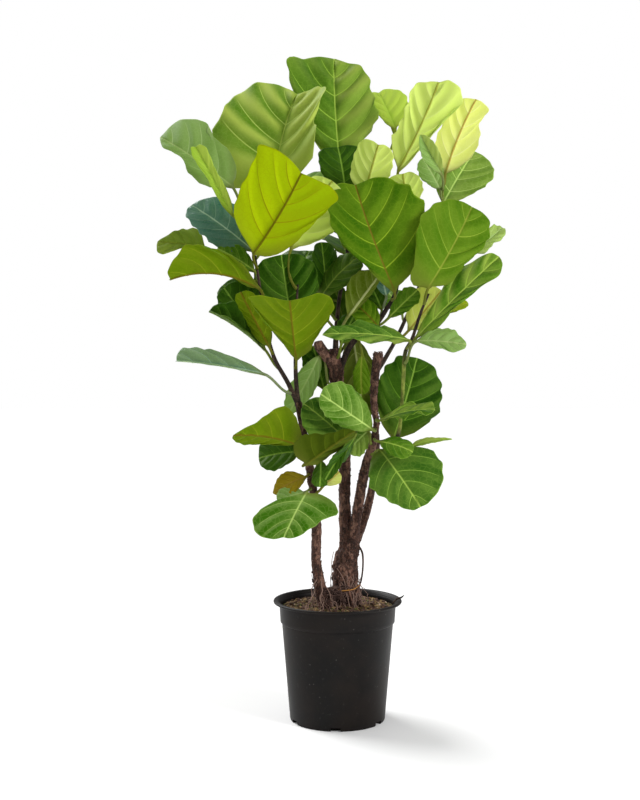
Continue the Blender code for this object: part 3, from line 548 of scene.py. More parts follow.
# %% Turn the pot
POT_HEIGHT, BASE_RADIUS, WALL_LEAN, WALL = 0.252, 0.100, 0.0836, 0.0022
STEP_AT, COLLAR_STEP, COLLAR_LEAN = 0.2065, 0.003, 0.0024
RIM_RADIUS, RIM_THICK, RIM_INSIDE = 0.135, 0.0055, 0.1275
FLOOR_THICK = 0.003
POT_SIDES = 192
NOTCHES, FIRST_NOTCH, NOTCH_SIZE = 6, -93, (0.024, 0.021, 0.015)


def wall_radius(height):
    """Outer radius of the pot's body, which leans out evenly."""
    return BASE_RADIUS + WALL_LEAN * height


def wall_spot(height, inward=0.0):
    """Point of the body's wall in the (radius, height) plane, inward from its outer face."""
    return wall_radius(height) - inward, height


def arc(centre, radius, start, stop, count):
    """Points of a circle's arc in the (radius, height) plane, angles in degrees."""
    turn = np.radians(np.linspace(start, stop, count))
    return np.column_stack([centre[0] + radius * np.cos(turn), centre[1] + radius * np.sin(turn)])


def line(a, b, count):
    """Evenly spaced points from a to b, without b."""
    t = np.linspace(0, 1, count, endpoint=False)[:, None]
    return np.array(a) * (1 - t) + np.array(b) * t


def pot_profile():
    """Outer wall up, over the rolled rim, and down the inner wall, as one open line."""
    low = wall_radius(STEP_AT) + COLLAR_STEP
    high = low + COLLAR_LEAN
    under, bead = POT_HEIGHT - RIM_THICK, RIM_THICK / 2
    parts = [
        line((0.0005, 0), (BASE_RADIUS - 0.002, 0), 6), arc((BASE_RADIUS - 0.002, 0.002), 0.002, -90, -5, 5),
        line(wall_spot(0.004), wall_spot(STEP_AT - 0.003), 24),
        line(wall_spot(STEP_AT - 0.002), (low - 0.0004, STEP_AT - 0.0003), 4),
        line((low, STEP_AT + 0.0005), (high, under - 0.001), 8),
        line((high, under), (RIM_RADIUS - bead, under), 5),
        arc((RIM_RADIUS - bead, under + bead), bead, -90, 90, 12),
        line((RIM_RADIUS - bead - 0.0005, POT_HEIGHT), (RIM_INSIDE, POT_HEIGHT), 3),
        line((RIM_INSIDE - 0.0008, POT_HEIGHT - 0.0006), (high - WALL, under - 0.004), 5),
        line((high - WALL, under - 0.005), (low - WALL, STEP_AT + 0.001), 8),
        line((wall_radius(STEP_AT) - WALL, STEP_AT - 0.001), wall_spot(FLOOR_THICK, WALL), 16),
        line(wall_spot(FLOOR_THICK, WALL), (0.0005, FLOOR_THICK), 6), [(0.0005, FLOOR_THICK)]]
    return np.vstack([np.array(part) for part in parts])


def turned_points(profile, sides):
    """Each profile point carried round the axis: (r cos a, r sin a, z)."""
    radius, height = profile[:, :1], np.repeat(profile[:, 1:], sides, 1)
    return np.stack([radius * np.cos(turns(sides)), radius * np.sin(turns(sides)), height], -1).reshape(-1, 3)


def make_pot():
    """The turned wall with its notches cut out by boxes."""
    profile = pot_profile()
    points, faces = turned_points(profile, POT_SIDES), tube_faces(len(profile), POT_SIDES)
    pot = make_piece("pot_body", points, faces, PLASTIC, ["pot"])
    boxes = []
    for k in range(NOTCHES):
        turn = math.radians(FIRST_NOTCH + 360 / NOTCHES * k)
        bpy.ops.mesh.primitive_cube_add(size=1)
        box = bpy.context.object
        box.scale, box.rotation_euler = NOTCH_SIZE, (0, 0, turn)
        box.location = (BASE_RADIUS * math.cos(turn), BASE_RADIUS * math.sin(turn), 0)
        notch = pot.modifiers.new("notch", "BOOLEAN")
        notch.operation, notch.object, notch.solver = "DIFFERENCE", box, "EXACT"
        boxes.append(box)
    apply_modifiers(pot)
    for box in boxes:
        bpy.data.objects.remove(box)
    pot.data.set_sharp_from_angle(angle=math.radians(40))
    return pot


pot = make_pot()
print("pot faces:", len(pot.data.polygons))

# %% [markdown]
# ## Wood
#
# The trunks are cut hard and have grown on, so they are thick below, ringed by old leaf scars and
# rough all over. Each stem is a tube: circles carried along its curve, with the radius pushed in
# and out by rings and noise. Tubes that cross would keep their inner walls, so a voxel remesh fuses
# them into one skin, and that also rounds the forks as real wood does. The thin upper stems stay
# plain tubes, and scales of dry bark stand off the thick ones.


# %% Tools for wood
RING_SPACING = 0.019
WOOD_SIDES, WOOD_STEPS = 60, 30
TWIG_SIDES, TWIG_STEPS = 20, 16
FLAKE_SIZE = np.array([0.0042, 0.0022, 0.0005])


def tube(points, sides, steps, rough, seed):
    """Circles along a curve: centre + r(a, s) * (side cos a + other sin a).
    r is the stem's radius, pushed out by rings about 19 mm apart and by ridges and noise."""
    path = smooth_path(points, steps) * CM
    centre, radius = path[:, :3], path[:, 3]
    slope = unit(np.gradient(centre, axis=0))
    side = unit(np.cross(slope, (0.0, 1.0, 0.0)))
    other = np.cross(slope, side)
    turn = turns(sides)[None, :, None]
    ring = side[:, None] * np.cos(turn) + other[:, None] * np.sin(turn)
    length = np.concatenate([[0], np.cumsum(np.linalg.norm(np.diff(centre, axis=0), axis=1))])
    count = length / RING_SPACING + 0.4 * np.sin(90 * length + seed)
    bands = bell(count % 1 - 0.5, 0.11)[:, None]
    skin = centre[:, None] + ring * radius[:, None, None]
    ridges = value_noise(skin, (170, 170, 80), seed) + 0.9 * value_noise(skin, (420, 420, 210), seed + 1)
    push = rough * (ridges * 0.085 + bands * 0.05) * np.minimum(radius[:, None] / 0.012, 1.3)
    return (centre[:, None] + ring * (radius[:, None] * (1 + push))[:, :, None]).reshape(-1, 3), len(path)


def gather_tubes(stems, sides, steps, rough, seed):
    """All tubes as one set of points and faces."""
    points, faces = [], []
    for number, stem in enumerate(stems):
        made, rows = tube(stem, sides, steps, rough, seed + number * 7)
        faces += tube_faces(rows, sides, sum(len(p) for p in points))
        points.append(made)
    return np.vstack(points), faces


def make_wood(name, node, stems, voxel, seed):
    """Thick stems fused into one skin."""
    points, faces = gather_tubes(stems, WOOD_SIDES, WOOD_STEPS, 1.0, seed)
    wood = make_piece(name, points, faces, BARK, [node])
    remesh = wood.modifiers.new("fuse", "REMESH")
    remesh.mode, remesh.voxel_size, remesh.use_smooth_shade = "VOXEL", voxel, True
    apply_modifiers(wood)
    print(name, "triangles:", 2 * len(wood.data.polygons))
    return wood


def slim(points):
    """A twig loses up to two fifths of its radius: times 0.42 + 0.8 r, at most 1."""
    return [(x, y, z, r * min(1.0, 0.42 + 0.8 * r)) for x, y, z, r in points]


def make_twigs(name, stems, seed):
    """Thin stems as plain tubes that start inside the thick ones. The far one is green from 1 m up,
    and the side one between 0.60 and 0.78 m."""
    points, faces = gather_tubes([slim(STEMS[k]) for k in stems], TWIG_SIDES, TWIG_STEPS, 0.8, seed)
    twigs = make_piece(name, points, faces, TWIG)
    x, z = points[:, 0], points[:, 2]
    top = np.clip((z - 1.00) / 0.06, 0, 1) * (x > 0.19)
    side = np.clip((z - 0.60) / 0.02, 0, 1) * np.clip((0.78 - z) / 0.04, 0, 1) * (x > 0.11) * (x < 0.15)
    add_attribute(twigs.data, "young", np.maximum(top, 0.8 * side))
    return twigs


def make_flakes(name, stems, count, seed):
    """Scales of dry bark: flat six-sided chips, each drawn at a place on a stem and stood a little
    off its skin. A corner is at place + a * along + s * sideways + n * outward."""
    draw = np.random.default_rng(seed)
    path = np.vstack([smooth_path(stem, 12) for stem in stems]) * CM
    spot = path[draw.integers(1, len(path) - 1, count)]
    turn = draw.random(count) * 2 * np.pi
    outward = np.stack([np.cos(turn), np.sin(turn), 0 * turn], -1)
    sideways = np.stack([-np.sin(turn), np.cos(turn), 0 * turn], -1)
    lean = draw.uniform(-0.1, 0.5, (count, 1))
    slant = draw.normal(0, 0.2, (count, 1))
    along = unit(np.array([0, 0, 1.0]) + outward * lean + sideways * slant)
    place = spot[:, :3] + outward * (spot[:, 3:] * draw.uniform(0.96, 1.07, (count, 1)))
    shape = BOX_CORNERS[None] * FLAKE_SIZE * (0.3 + draw.random((count, 1, 3)))
    shape = shape * (1 + 0.5 * (draw.random((count, 8, 3)) - 0.5))
    points = place[:, None] + shape[..., :1] * along[:, None]
    points = points + shape[..., 1:2] * sideways[:, None] + shape[..., 2:] * outward[:, None]
    faces = box_faces(count)[:, ::-1].tolist()
    return make_piece(name, points.reshape(-1, 3), faces, FLAKE, smooth=False)


print("wood tools ready")

# %% Trunks, flakes and twigs
# the left trunk's foot stands further to the right than in the list
LEFT_FOOT = [(-2.3, -3.5, 19, 1.6), (-2.5, -3.5, 24, 1.5), (-3.7, -3.2, 28.5, 1.2)]
THICK = ("main", "middle", "stump", "right", "right_back")
FLAKE = plain_material("bark_flake", (0.110, 0.050, 0.034), 0.85)
make_wood("left_trunk", "trunk_left", [LEFT_FOOT + STEMS["left"][3:]], 0.0012, 3)
make_wood("main_trunk", "trunk_main", [STEMS[k] for k in THICK] + ROOTS, 0.0015, 40)
make_flakes("left_flakes", [STEMS["left"][2:]], 180, 31)
make_flakes("main_flakes", [STEMS[k][1:] for k in THICK if k != "stump"], 520, 32)
make_twigs("left_twigs", ("left_upright", "left_branch"), 60)
make_twigs("main_twigs", ("upper", "cross", "side", "far"), 70)
print("thick stems:", len(THICK) + 1, "roots:", len(ROOTS))

# %% [markdown]
# ## Leaves
#
# A blade is a sheet with a formula. Its midrib is an arc from base to tip. Across it, each half is
# an arc too: it leaves the midrib at a fold angle and rolls up or down towards the rim. The rim
# waves, and the skin swells between the side veins like a quilt. The grid's rows bend with the
# veins, so that a ridge one millimetre high stays sharp on a grid of modest size. The stalk is the
# same grid wrapped into a tube, so leaf and stalk are one closed skin. Solidify would give the
# sheet a thickness, but not the rib that stands out below, so both faces are worked out here.

# %% How single leaves grow
# rims: points of the blade's edge from base to tip, as (along, across) in hundredths of its
# length, first for the half on the right looking along it from above, then for the left one.
# fold, roll: degrees for the same two halves. wave: height of the rim's waves in parts of the
# half-width. waves: how many there are. light: how far painted sunlight pales each half. pleat: how
# pale the bands of painted light along its veins are, where the swells would catch the sun. bow: how
# far the midrib bends sideways, in parts of its length. swell: how far the skin swells between the
# veins, 1 being usual. base, tip, arch and finish take the place of what the list of leaves says.
HABITS = {
    "leaf_01": dict(
        fold=(4, 12), roll=(-14, -10), wave=0.03, finish="hazy",
        rims=([(5, 14), (19, 26), (34, 32), (57, 33), (66, 41), (77, 44), (99, 26)],
              [(6, 8), (16, 17), (28, 20), (44, 17), (55, 9), (70, 8), (86, 9)])),
    "leaf_02": dict(
        fold=(34, 26), roll=(10, -10), wave=0.16, light=(0.5, 0.15), finish="fresh",
        rims=([(12, 5), (35, 10), (62, 9), (85, 13), (97, 7)],
              [(12, 5), (35, 7), (62, 7), (85, 10), (100, 7)])),
    "leaf_03": dict(
        fold=(36, 4), roll=(20, -10), wave=0.05, waves=4.2, swell=3.6, light=(0.42, 0.0),
        painted_band_light=(0.25, 0.62), finish="sunny",
        rims=([(12, 26), (26, 44), (42, 46), (54, 38), (66, 40), (76, 42), (84, 41), (90, 35), (94, 25),
               (97, 12)],
              [(-8, 33), (-6, 42), (13, 51), (40, 63), (46, 64), (60, 57), (75, 58), (100, 41), (107, 24),
               (105, 10)])),
    "leaf_04": dict(
        fold=(4, 8), roll=(-10, 24), wave=0.05, swell=2.8, light=(0.14, 0.02), painted_band_light=(0.28, 0.08),
        rims=([(8, 10), (20, 20), (34, 31), (42, 35), (54, 33), (80, 28), (91, 20), (95, 10)],
              [(10, 12), (30, 24), (52, 33), (70, 38), (84, 42), (92, 36), (95, 26), (101, 13)])),
    "leaf_05": dict(
        fold=(6, 16), roll=(12, -6), wave=0.025, light=(0.70, 0.0), painted_band_light=(0.2, 0.1),
        rims=([(7, 14), (23, 41), (48, 50), (82, 52), (98, 54), (105, 38), (106, 22), (103, 7)],
              [(5, 15), (26, 29), (57, 37), (76, 42), (93, 47), (101, 36), (101, 17)])),
    "leaf_06": dict(
        arch=24, fold=(8, 8), roll=(-26, -20), wave=0.05,
        rims=([(12, 20), (46, 40), (81, 32), (96, 15)], [(14, 20), (37, 28), (63, 25), (89, 19), (99, 8)])),
    "leaf_07": dict(
        arch=14, fold=(8, 4), roll=(-20, -10), wave=0.12, light=(0.24, 0.34),
        rims=([(10, 26), (24, 40), (42, 40), (70, 24), (92, 8)],
              [(15, 6), (40, 7), (66, 10), (84, 26), (95, 24), (100, 8)])),
    "leaf_08": dict(
        arch=16, bow=-0.11, fold=(72, 8), roll=(0, -8), wave=0.05,
        rims=([(10, 12), (35, 26), (65, 34), (88, 26), (100, 10)],
              [(5, 6), (20, 19), (40, 25), (60, 30), (80, 36), (93, 27), (103, 12)])),
    "leaf_09": dict(
        wave=0.04, finish="deep",
        rims=([(15, 20), (50, 40), (84, 38), (100, 16)], [(20, 20), (56, 30), (89, 23), (100, 8)])),
    "leaf_10": dict(tip=(-1.2, -6, 112.0), light=(0.2, 0.2), finish="pale"),
    "leaf_12": dict(
        fold=(5, 5), roll=(-6, -6), wave=0.03,
        rims=([(11, 8), (36, 20), (57, 35), (89, 49), (110, 55), (113, 38), (102, 13)],
              [(11, 20), (18, 23), (39, 36), (58, 50), (80, 58), (96, 57), (108, 39), (102, 15)])),
    "leaf_13": dict(
        fold=(20, 6), roll=(8, -8), wave=0.05,
        rims=([(10, 8), (30, 16), (60, 15), (85, 16), (98, 10)], [(10, 10), (35, 20), (70, 24), (95, 12)])),
    "leaf_15": dict(
        base=(-15.0, -6, 77.8), tip=(-26.4, -6, 85.4), fold=(50, 30), roll=(0, 0), wave=0.06,
        finish="deep"),
    "leaf_16": dict(
        arch=20, fold=(6, 45), roll=(-14, 0), wave=0.05, light=(0.18, 0.18),
        rims=([(10, 6), (30, 13), (55, 19), (80, 24), (95, 20), (101, 9)],
              [(10, 6), (40, 14), (80, 20), (97, 12)])),
    "leaf_17": dict(
        fold=(16, 6), roll=(10, -12), wave=0.04,
        rims=([(15, 10), (37, 18), (67, 26), (86, 20), (98, 8)],
              [(-6, 10), (4, 34), (18, 52), (34, 58), (50, 46), (68, 22), (86, 10)])),
    "leaf_18": dict(
        arch=18, fold=(12, 22), roll=(10, 26), wave=0.06, light=(0.0, 0.05), finish="dusk",
        rims=([(-4, 20), (8, 40), (28, 40), (48, 28), (68, 18), (90, 10)],
              [(8, 14), (26, 26), (48, 26), (70, 20), (92, 10)])),
    "leaf_19": dict(
        finish="gloss",
        rims=([(10, 16), (30, 35), (55, 44), (80, 38), (96, 16)],
              [(10, 18), (30, 34), (55, 40), (80, 34), (96, 15)])),
    "leaf_21": dict(
        arch=20, fold=(6, 8), roll=(-14, -12), wave=0.04, finish="bright",
        rims=([(6, 10), (25, 26), (50, 36), (70, 38), (88, 30), (100, 13)],
              [(10, 10), (30, 20), (55, 25), (80, 23), (95, 13)])),
    "leaf_22": dict(base=(6.0, -4.5, 60.8), tip=(2.0, -5.5, 56.6), light=(0.0, 0.2), finish="bright"),
    "leaf_23": dict(base=(11.9, 2, 59.1), tip=(17.4, 10, 76.0)),
    "leaf_24": dict(
        base=(9.0, -9, 63.6), tip=(19.4, -11, 65.6), wave=0.16, light=(0.0, 0.10), painted_band_light=(0.0, 0.2)),
    "leaf_25": dict(finish="mid"),
    "leaf_26": dict(
        wave=0.08, light=(0.35, 0.5),
        rims=([(10, 6), (40, 9), (75, 6), (95, 2)], [(10, 10), (30, 16), (60, 10), (92, 3)])),
    "leaf_27": dict(
        fold=(4, 8), roll=(-16, -12), wave=0.03, finish="gloss",
        rims=([(1, 12), (19, 28), (39, 40), (58, 37), (79, 27), (98, 12)],
              [(8, 16), (24, 41), (40, 56), (62, 57), (88, 40), (100, 13)])),
    "leaf_28": dict(
        fold=(4, 4), roll=(-14, -18), wave=0.03,
        rims=([(12, 16), (32, 34), (65, 64), (91, 68), (111, 47), (110, 18)],
              [(-12, 20), (-10, 42), (0, 63), (16, 70), (38, 53), (57, 45), (88, 24), (98, 10)])),
    "leaf_29": dict(
        rims=([(12, 12), (35, 30), (60, 32), (85, 16), (95, 5)],
              [(12, 12), (35, 26), (60, 30), (85, 20), (95, 8)])),
    "leaf_32": dict(
        fold=(-6, 8), roll=(-16, 20), wave=0.05, swell=1.6,
        rims=([(14, 14), (27, 22), (39, 21), (72, 22), (87, 23), (96, 10)],
              [(8, 5), (21, 8), (39, 10), (71, 21), (87, 29), (101, 24), (106, 10)])),
    "leaf_33": dict(
        wave=0.04, light=(0.5, 0.5), finish="fresh",
        rims=([(10, 16), (40, 42), (72, 50), (95, 32), (104, 12)],
              [(15, 12), (45, 22), (75, 32), (100, 28), (106, 12)])),
    "leaf_34": dict(
        fold=(4, 8), roll=(-8, -12), wave=0.04, finish="lemon",
        rims=([(2, 8), (15, 18), (31, 25), (59, 24), (92, 17)],
              [(4, 7), (18, 19), (34, 27), (57, 26), (73, 18), (92, 21), (99, 9)])),
    "leaf_35": dict(
        fold=(42, 50), light=(0.6, 0.0), finish="hazy",
        rims=([(12, 10), (40, 24), (70, 24), (92, 12)], [(12, 10), (40, 24), (70, 22), (92, 10)])),
    "leaf_36": dict(
        base=(22.8, 7.5, 109.2), tip=(30.2, 14, 121.2), wave=0.04, light=(0.16, 0.04), finish="bright"),
    "leaf_37": dict(
        rims=([(15, 20), (45, 46), (80, 46), (98, 22)], [(15, 20), (45, 44), (80, 40), (98, 20)])),
    "leaf_38": dict(
        fold=(8, 6), roll=(-12, -8), wave=0.03, finish="warm",
        rims=([(8, 18), (18, 29), (36, 42), (50, 48), (63, 51), (70, 46), (81, 44), (87, 36), (94, 31),
               (100, 18), (100, 7)],
              [(8, 7), (21, 12), (39, 18), (51, 25), (64, 29), (82, 29), (94, 24), (104, 22), (106, 12),
               (103, 5)])),
    "leaf_39": dict(
        fold=(4, 10), roll=(-10, -8), wave=0.03, finish="olive",
        rims=([(12, 14), (27, 17), (46, 20), (60, 25), (80, 28), (96, 23), (101, 14)],
              [(-8, 12), (-2, 20), (13, 25), (28, 34), (41, 39), (61, 40), (81, 30), (95, 15)])),
    "leaf_40": dict(
        arch=26, fold=(10, 14), roll=(-10, -18), wave=0.16, painted_band_light=(0.12, 0.30),
        rims=([(12, 5), (27, 9), (38, 7), (60, 9), (82, 13), (95, 9)],
              [(12, 5), (39, 11), (63, 18), (78, 15), (96, 7)])),
    "leaf_41": dict(
        fold=(6, 6), wave=0.14, finish="hazy",
        rims=([(12, 6), (30, 13), (60, 19), (80, 20), (96, 10)],
              [(8, 8), (22, 22), (54, 33), (74, 26), (94, 10)])),
    "leaf_42": dict(
        fold=(10, 12), wave=0.22, waves=3.0, painted_band_light=(0.0, 0.2), finish="gloss",
        rims=([(8, 6), (30, 13), (55, 15), (80, 12), (95, 5)],
              [(8, 6), (30, 12), (55, 13), (80, 10), (95, 5)])),
    "leaf_43": dict(wave=0.08, light=(0.5, 0.5), finish="lemon"),
    "leaf_44": dict(
        bow=0.07, fold=(20, 20), wave=0.30, light=(0.3, 0.3), finish="hazy",
        rims=([(10, 8), (35, 18), (60, 14), (85, 16), (98, 8)],
              [(10, 8), (35, 14), (60, 16), (85, 14), (98, 7)])),
    "leaf_45": dict(
        wave=0.03,
        rims=([(10, 20), (40, 44), (75, 48), (95, 40), (101, 18)],
              [(10, 20), (40, 42), (75, 44), (93, 38), (99, 18)])),
    "leaf_46": dict(
        fold=(20, 4), wave=0.05, light=(0.0, 0.35),
        rims=([(8, 20), (25, 38), (55, 42), (80, 40), (98, 32), (103, 14)],
              [(8, 14), (25, 30), (50, 38), (75, 36), (93, 30), (102, 12)])),
    "leaf_48": dict(tip=(4.2, -3, 96.8), finish="shade"),
    "leaf_49": dict(
        finish="shade",
        rims=([(10, 10), (30, 28), (55, 38), (80, 32), (95, 15)], [(15, 6), (50, 12), (85, 8)])),
    "leaf_55": dict(finish="mid"),
    "leaf_56": dict(
        arch=12, finish="hazy",
        rims=([(10, 8), (35, 17), (60, 20), (82, 16), (97, 7)],
              [(10, 8), (35, 15), (60, 17), (82, 13), (97, 6)])),
}
# where a drawn rim is widest, in parts of the blade's length
WIDEST_AT, OVAL_WIDEST_AT = 0.6, 0.46
# spaces between the side veins of a blade, and how far each vein climbs to the rim, in parts of
# what is left of the rim above it
VEIN_SPACES, VEIN_CLIMB = 5, 0.42
# sizes in metres; VEIN_WIDTH is in parts of the space between two veins
BLADE_THICK, STALK_RADIUS, LEAST_HALF = 0.0010, 0.0027, 0.0012
RIB_WIDTH, RIB_DEPTH, LEAST_RIB = 0.0021, 0.0032, 0.0004
GROOVE_WIDTH, GROOVE_DEPTH = 0.0018, 0.0004
VEIN_WIDTH, VEIN_DEPTH, VEIN_GROOVE, SWELL_HEIGHT = 0.036, 0.0007, 0.0003, 0.0034
# rows of a stalk, and the widths in cm from which a leaf swells in full and gets the finer grid
STALK_ROWS, FULL_WIDTH, LARGE_WIDTH = 12, 14, 9.6


def outline(u, widest, square):
    """Half-width at u, 1 at its widest w: sin(pi u / 2w)^0.75 up to w, then sqrt(1 - past^square),
    which ends the blade round. A waist narrows it a little at a third of its length."""
    wedge = np.sin(0.5 * np.pi * np.clip(u / widest, 0, 1)) ** 0.75
    past = np.clip((u - widest) / (1 - widest), 0, 1)
    body = np.where(u < widest, wedge, np.sqrt(np.maximum(0, 1 - past**square)))
    return body * (1 - 0.05 * bell(u - 0.3, 0.12))


def drawn_rim(name, width, length, draw):
    """A rim from the outline's formula, with lobes that the leaf's own draw makes uneven."""
    widest = OVAL_WIDEST_AT if name in OVAL_LEAVES else WIDEST_AT + draw.uniform(-0.05, 0.05)
    u = np.array([0.03, 0.09, 0.18, 0.30, 0.42, 0.53, 0.63, 0.73, 0.83, 0.91, 0.97])
    across = 0.5 * width / length * outline(u, widest, draw.uniform(2.0, 3.0)) * draw.uniform(0.92, 1.05)
    lobes = 1 + draw.uniform(-0.065, 0.045, len(u)) * np.clip(u * 3, 0, 1)
    return list(zip(u, across * lobes))


def habit_of(leaf, seed):
    """The leaf's own ways: drawn by its seed, and then what the table above says instead."""
    name, stem, height, base, tip, width, look, arch, fold, tone = leaf
    draw, length = np.random.default_rng(seed), math.dist(base, tip)
    habit = dict(
        stem=stem, height=height, base=base, tip=tip, width=width, look=look, arch=6 + 1.4 * arch,
        rims=(drawn_rim(name, width, length, draw), drawn_rim(name, width, length, draw)),
        fold=tuple(fold + draw.uniform(-6, 8, 2)), roll=tuple(draw.uniform(-30, 12, 2)),
        wave=draw.uniform(0.04, 0.08), waves=draw.uniform(2.2, 3.4), phase=draw.uniform(0, 6.28, 4),
        lean=draw.uniform(0.010, 0.020), scallop=draw.uniform(0.008, 0.016),
        bow=draw.uniform(-0.025, 0.025), swell=1.0, light=(0.0, 0.0), painted_band_light=(0.0, 0.0), finish=tone)
    own = dict(HABITS.get(name, {}))
    if "rims" in own:
        own["rims"] = [[(along / 100, across / 100) for along, across in rim] for rim in own["rims"]]
    return habit | own


print("leaves with a habit of their own:", len(HABITS))


# %% [markdown]
# The grid of a blade is laid out flat first. Its rows are the side veins, so its edges already run
# as the veins do, and its outer column is the rim.


# %% Flat blade
def row_places(veins):
    """Places of the grid's rows from base to tip: close together at each vein, wide between."""
    near = np.array([-0.42, -0.27, -0.15, -0.075, -0.032, 0.0, 0.032, 0.075, 0.15, 0.27, 0.42])
    inner = (np.arange(1, veins)[:, None] + near[None]).ravel()
    tip = veins - 0.42 * np.array([0.7, 0.45, 0.26, 0.13, 0.05, 0.012])
    return np.concatenate([[0.02, 0.05, 0.09, 0.14, 0.20, 0.28, 0.37, 0.47], inner, tip]) / veins


def column_places(large):
    """Places across the blade, from -1 to 1: close together at the midrib and at the rim."""
    near = [0.012, 0.028, 0.06, 0.11, 0.18, 0.27, 0.37, 0.48, 0.59, 0.70, 0.80, 0.88, 0.94, 0.98, 1.0]
    half = np.array(near if large else [0.03, 0.08, 0.16, 0.28, 0.42, 0.57, 0.72, 0.86, 0.95, 1.0])
    return np.concatenate([-half[::-1], [0.0], half])


def halves(v, pair):
    """The first of a pair on the right half of the blade, and the second on the left half."""
    return np.where(v > 0, pair[0], pair[1])


def rim_spots(rim, part, scallop):
    """Points of a rim at the given parts of its length, on a smooth curve through its points with
    seven small lobes."""
    curve = smooth_path([(0.0, 0.0)] + list(rim) + [(1.0, 0.0)], 12)
    gone = np.concatenate([[0], np.cumsum(np.linalg.norm(np.diff(curve, axis=0), axis=1))])
    reach = np.clip(part, 0, 1) * gone[-1]
    lobe = scallop * np.sin(2 * np.pi * 7.5 * part) / np.maximum(0.25, curve[:, 1].max())
    lobe = 1 + lobe * np.clip(part * 6, 0, 1)
    return np.interp(reach, gone, curve[:, 0]), np.interp(reach, gone, curve[:, 1]) * lobe


def flat_blade(habit, s, v):
    """Where each grid point lies on the flat leaf, in parts of its length. A row is a side vein: a
    Bezier curve of three points from the midrib at s to the rim further up, at the part
    s + climb (1 - s)(1 - e^(-12 s)) of it, that starts outward and bends to the tip."""
    inner, phase = 4 * s * (1 - s), habit["phase"]
    lane = s * VEIN_SPACES
    s = s + 0.016 * np.sin(2.7 * lane + phase[0]) * inner
    shift = habit["lean"] * np.tanh(6 * v) + 0.016 * np.sin(2.3 * lane + phase[1] + v)
    shifted = np.clip(s + shift * inner, 0, 1)
    part = shifted + VEIN_CLIMB * (1 - shifted) * (1 - np.exp(-12 * shifted))
    right = rim_spots(habit["rims"][0], part, habit["scallop"])
    left = rim_spots(habit["rims"][1], part + 0.05, habit["scallop"])
    rim_y, rim_x = (halves(v, pair) for pair in zip(right, left))
    t = np.abs(v)
    bend_x = (0.60 + 0.05 * np.sin(3.1 * lane + phase[2])) * rim_x
    bend_y = s + (0.27 + 0.06 * np.sin(2.9 * lane + phase[3])) * (rim_y - s)
    y = (1 - t) ** 2 * s + 2 * (1 - t) * t * bend_y + t * t * rim_y
    x = 2 * (1 - t) * t * bend_x + t * t * rim_x
    return x, y, rim_x, part


print("grid of a large blade:", len(row_places(VEIN_SPACES)), "by", len(column_places(True)))

# %% [markdown]
# The flat blade is then bent. An arc from base to tip carries it, each half is an arc across that
# one, and waves and swellings are added along its normals. The stalk is a curve from the stem.


# %% Bent blade and stalk
def blade_frame(habit, u):
    """Midrib point, slope, side and normal along an arc from the blade's base to its tip. The bow
    moves it sideways by 4 bow u (1 - u) lengths."""
    start, end = np.array(habit["base"]) * CM, np.array(habit["tip"]) * CM
    along = unit(end - start)
    heading, rise = np.radians(habit["look"])
    looks = np.array([np.cos(rise) * np.cos(heading), np.cos(rise) * np.sin(heading), np.sin(rise)])
    up = unit(looks - along * np.dot(looks, along))
    side = np.cross(along, up)
    bend = math.radians(habit["arch"])
    radius = np.linalg.norm(end - start) / (2 * math.sin(bend / 2))
    turn = (bend * (0.5 - u))[..., None]
    slope = along * np.cos(turn) + up * np.sin(turn)
    normal = up * np.cos(turn) - along * np.sin(turn)
    centre = start + along * radius * (math.sin(bend / 2) - np.sin(turn))
    centre = centre + up * radius * (np.cos(turn) - math.cos(bend / 2))
    centre = centre + side * np.linalg.norm(end - start) * (4 * habit["bow"] * u * (1 - u))[..., None]
    return centre, slope, side, normal


def half_arc(width, fold, roll, t):
    """A half's section: an arc that leaves the midrib at `fold` and has turned by `roll` at the rim.
    Across it reaches w (sin(fold + roll t) - sin fold) / roll, and it rises with the cosines."""
    roll = np.where(np.abs(roll) < 0.01, 0.01, roll)
    reach = width * (np.sin(fold + roll * t) - np.sin(fold)) / roll
    return reach, width * (np.cos(fold) - np.cos(fold + roll * t)) / roll


def blade_sheet(habit, lane, v):
    """The blade's middle surface: arcs across an arc, the rim's waves and the swellings."""
    s, t = lane / VEIN_SPACES, np.abs(v)
    length = math.dist(habit["base"], habit["tip"]) * CM
    x, y, rim_x, part = flat_blade(habit, s, v)
    centre, _, side, normal = blade_frame(habit, y)
    fold, roll = (np.radians(halves(v, habit[key])) for key in ("fold", "roll"))
    width = halves(v, [length * max(across for _, across in rim) for rim in habit["rims"]])
    away = x * length + LEAST_HALF * t
    open_up = 0.45 + 0.55 * np.clip(y / 0.35, 0, 1)
    reach, rise = half_arc(width, fold * open_up, roll, away / width)
    phase = halves(v, habit["phase"][2:])
    wave = habit["wave"] * np.sin(2 * np.pi * habit["waves"] * part + phase)
    wave = wave + 0.4 * habit["wave"] * np.sin(2 * np.pi * 2.3 * habit["waves"] * part + 2 * phase)
    inside = np.clip(t * 5, 0, 1) * (1 - t**4) * np.clip((1 - s) * 7, 0, 1) * np.clip(s * 8, 0, 1)
    full = SWELL_HEIGHT * habit["swell"] * min(1.0, habit["width"] / FULL_WIDTH)
    swell = full * np.sin(np.pi * lane) ** 2 * inside
    point = centre + side * (reach * np.sign(v))[..., None]
    point = point + normal * (rise + rim_x * length * wave * t**1.8 + swell)[..., None]
    return point, normal, away, y


def sheet_normals(point, near):
    """Unit normal of each grid point: the cross product of the two differences."""
    across, along = np.gradient(point, axis=1), np.gradient(point, axis=0)
    face = np.cross(across, along)
    size = np.linalg.norm(face, axis=-1, keepdims=True)
    return unit(np.where(size > 1e-10, face / np.maximum(size, 1e-12), near) + 0.05 * near)


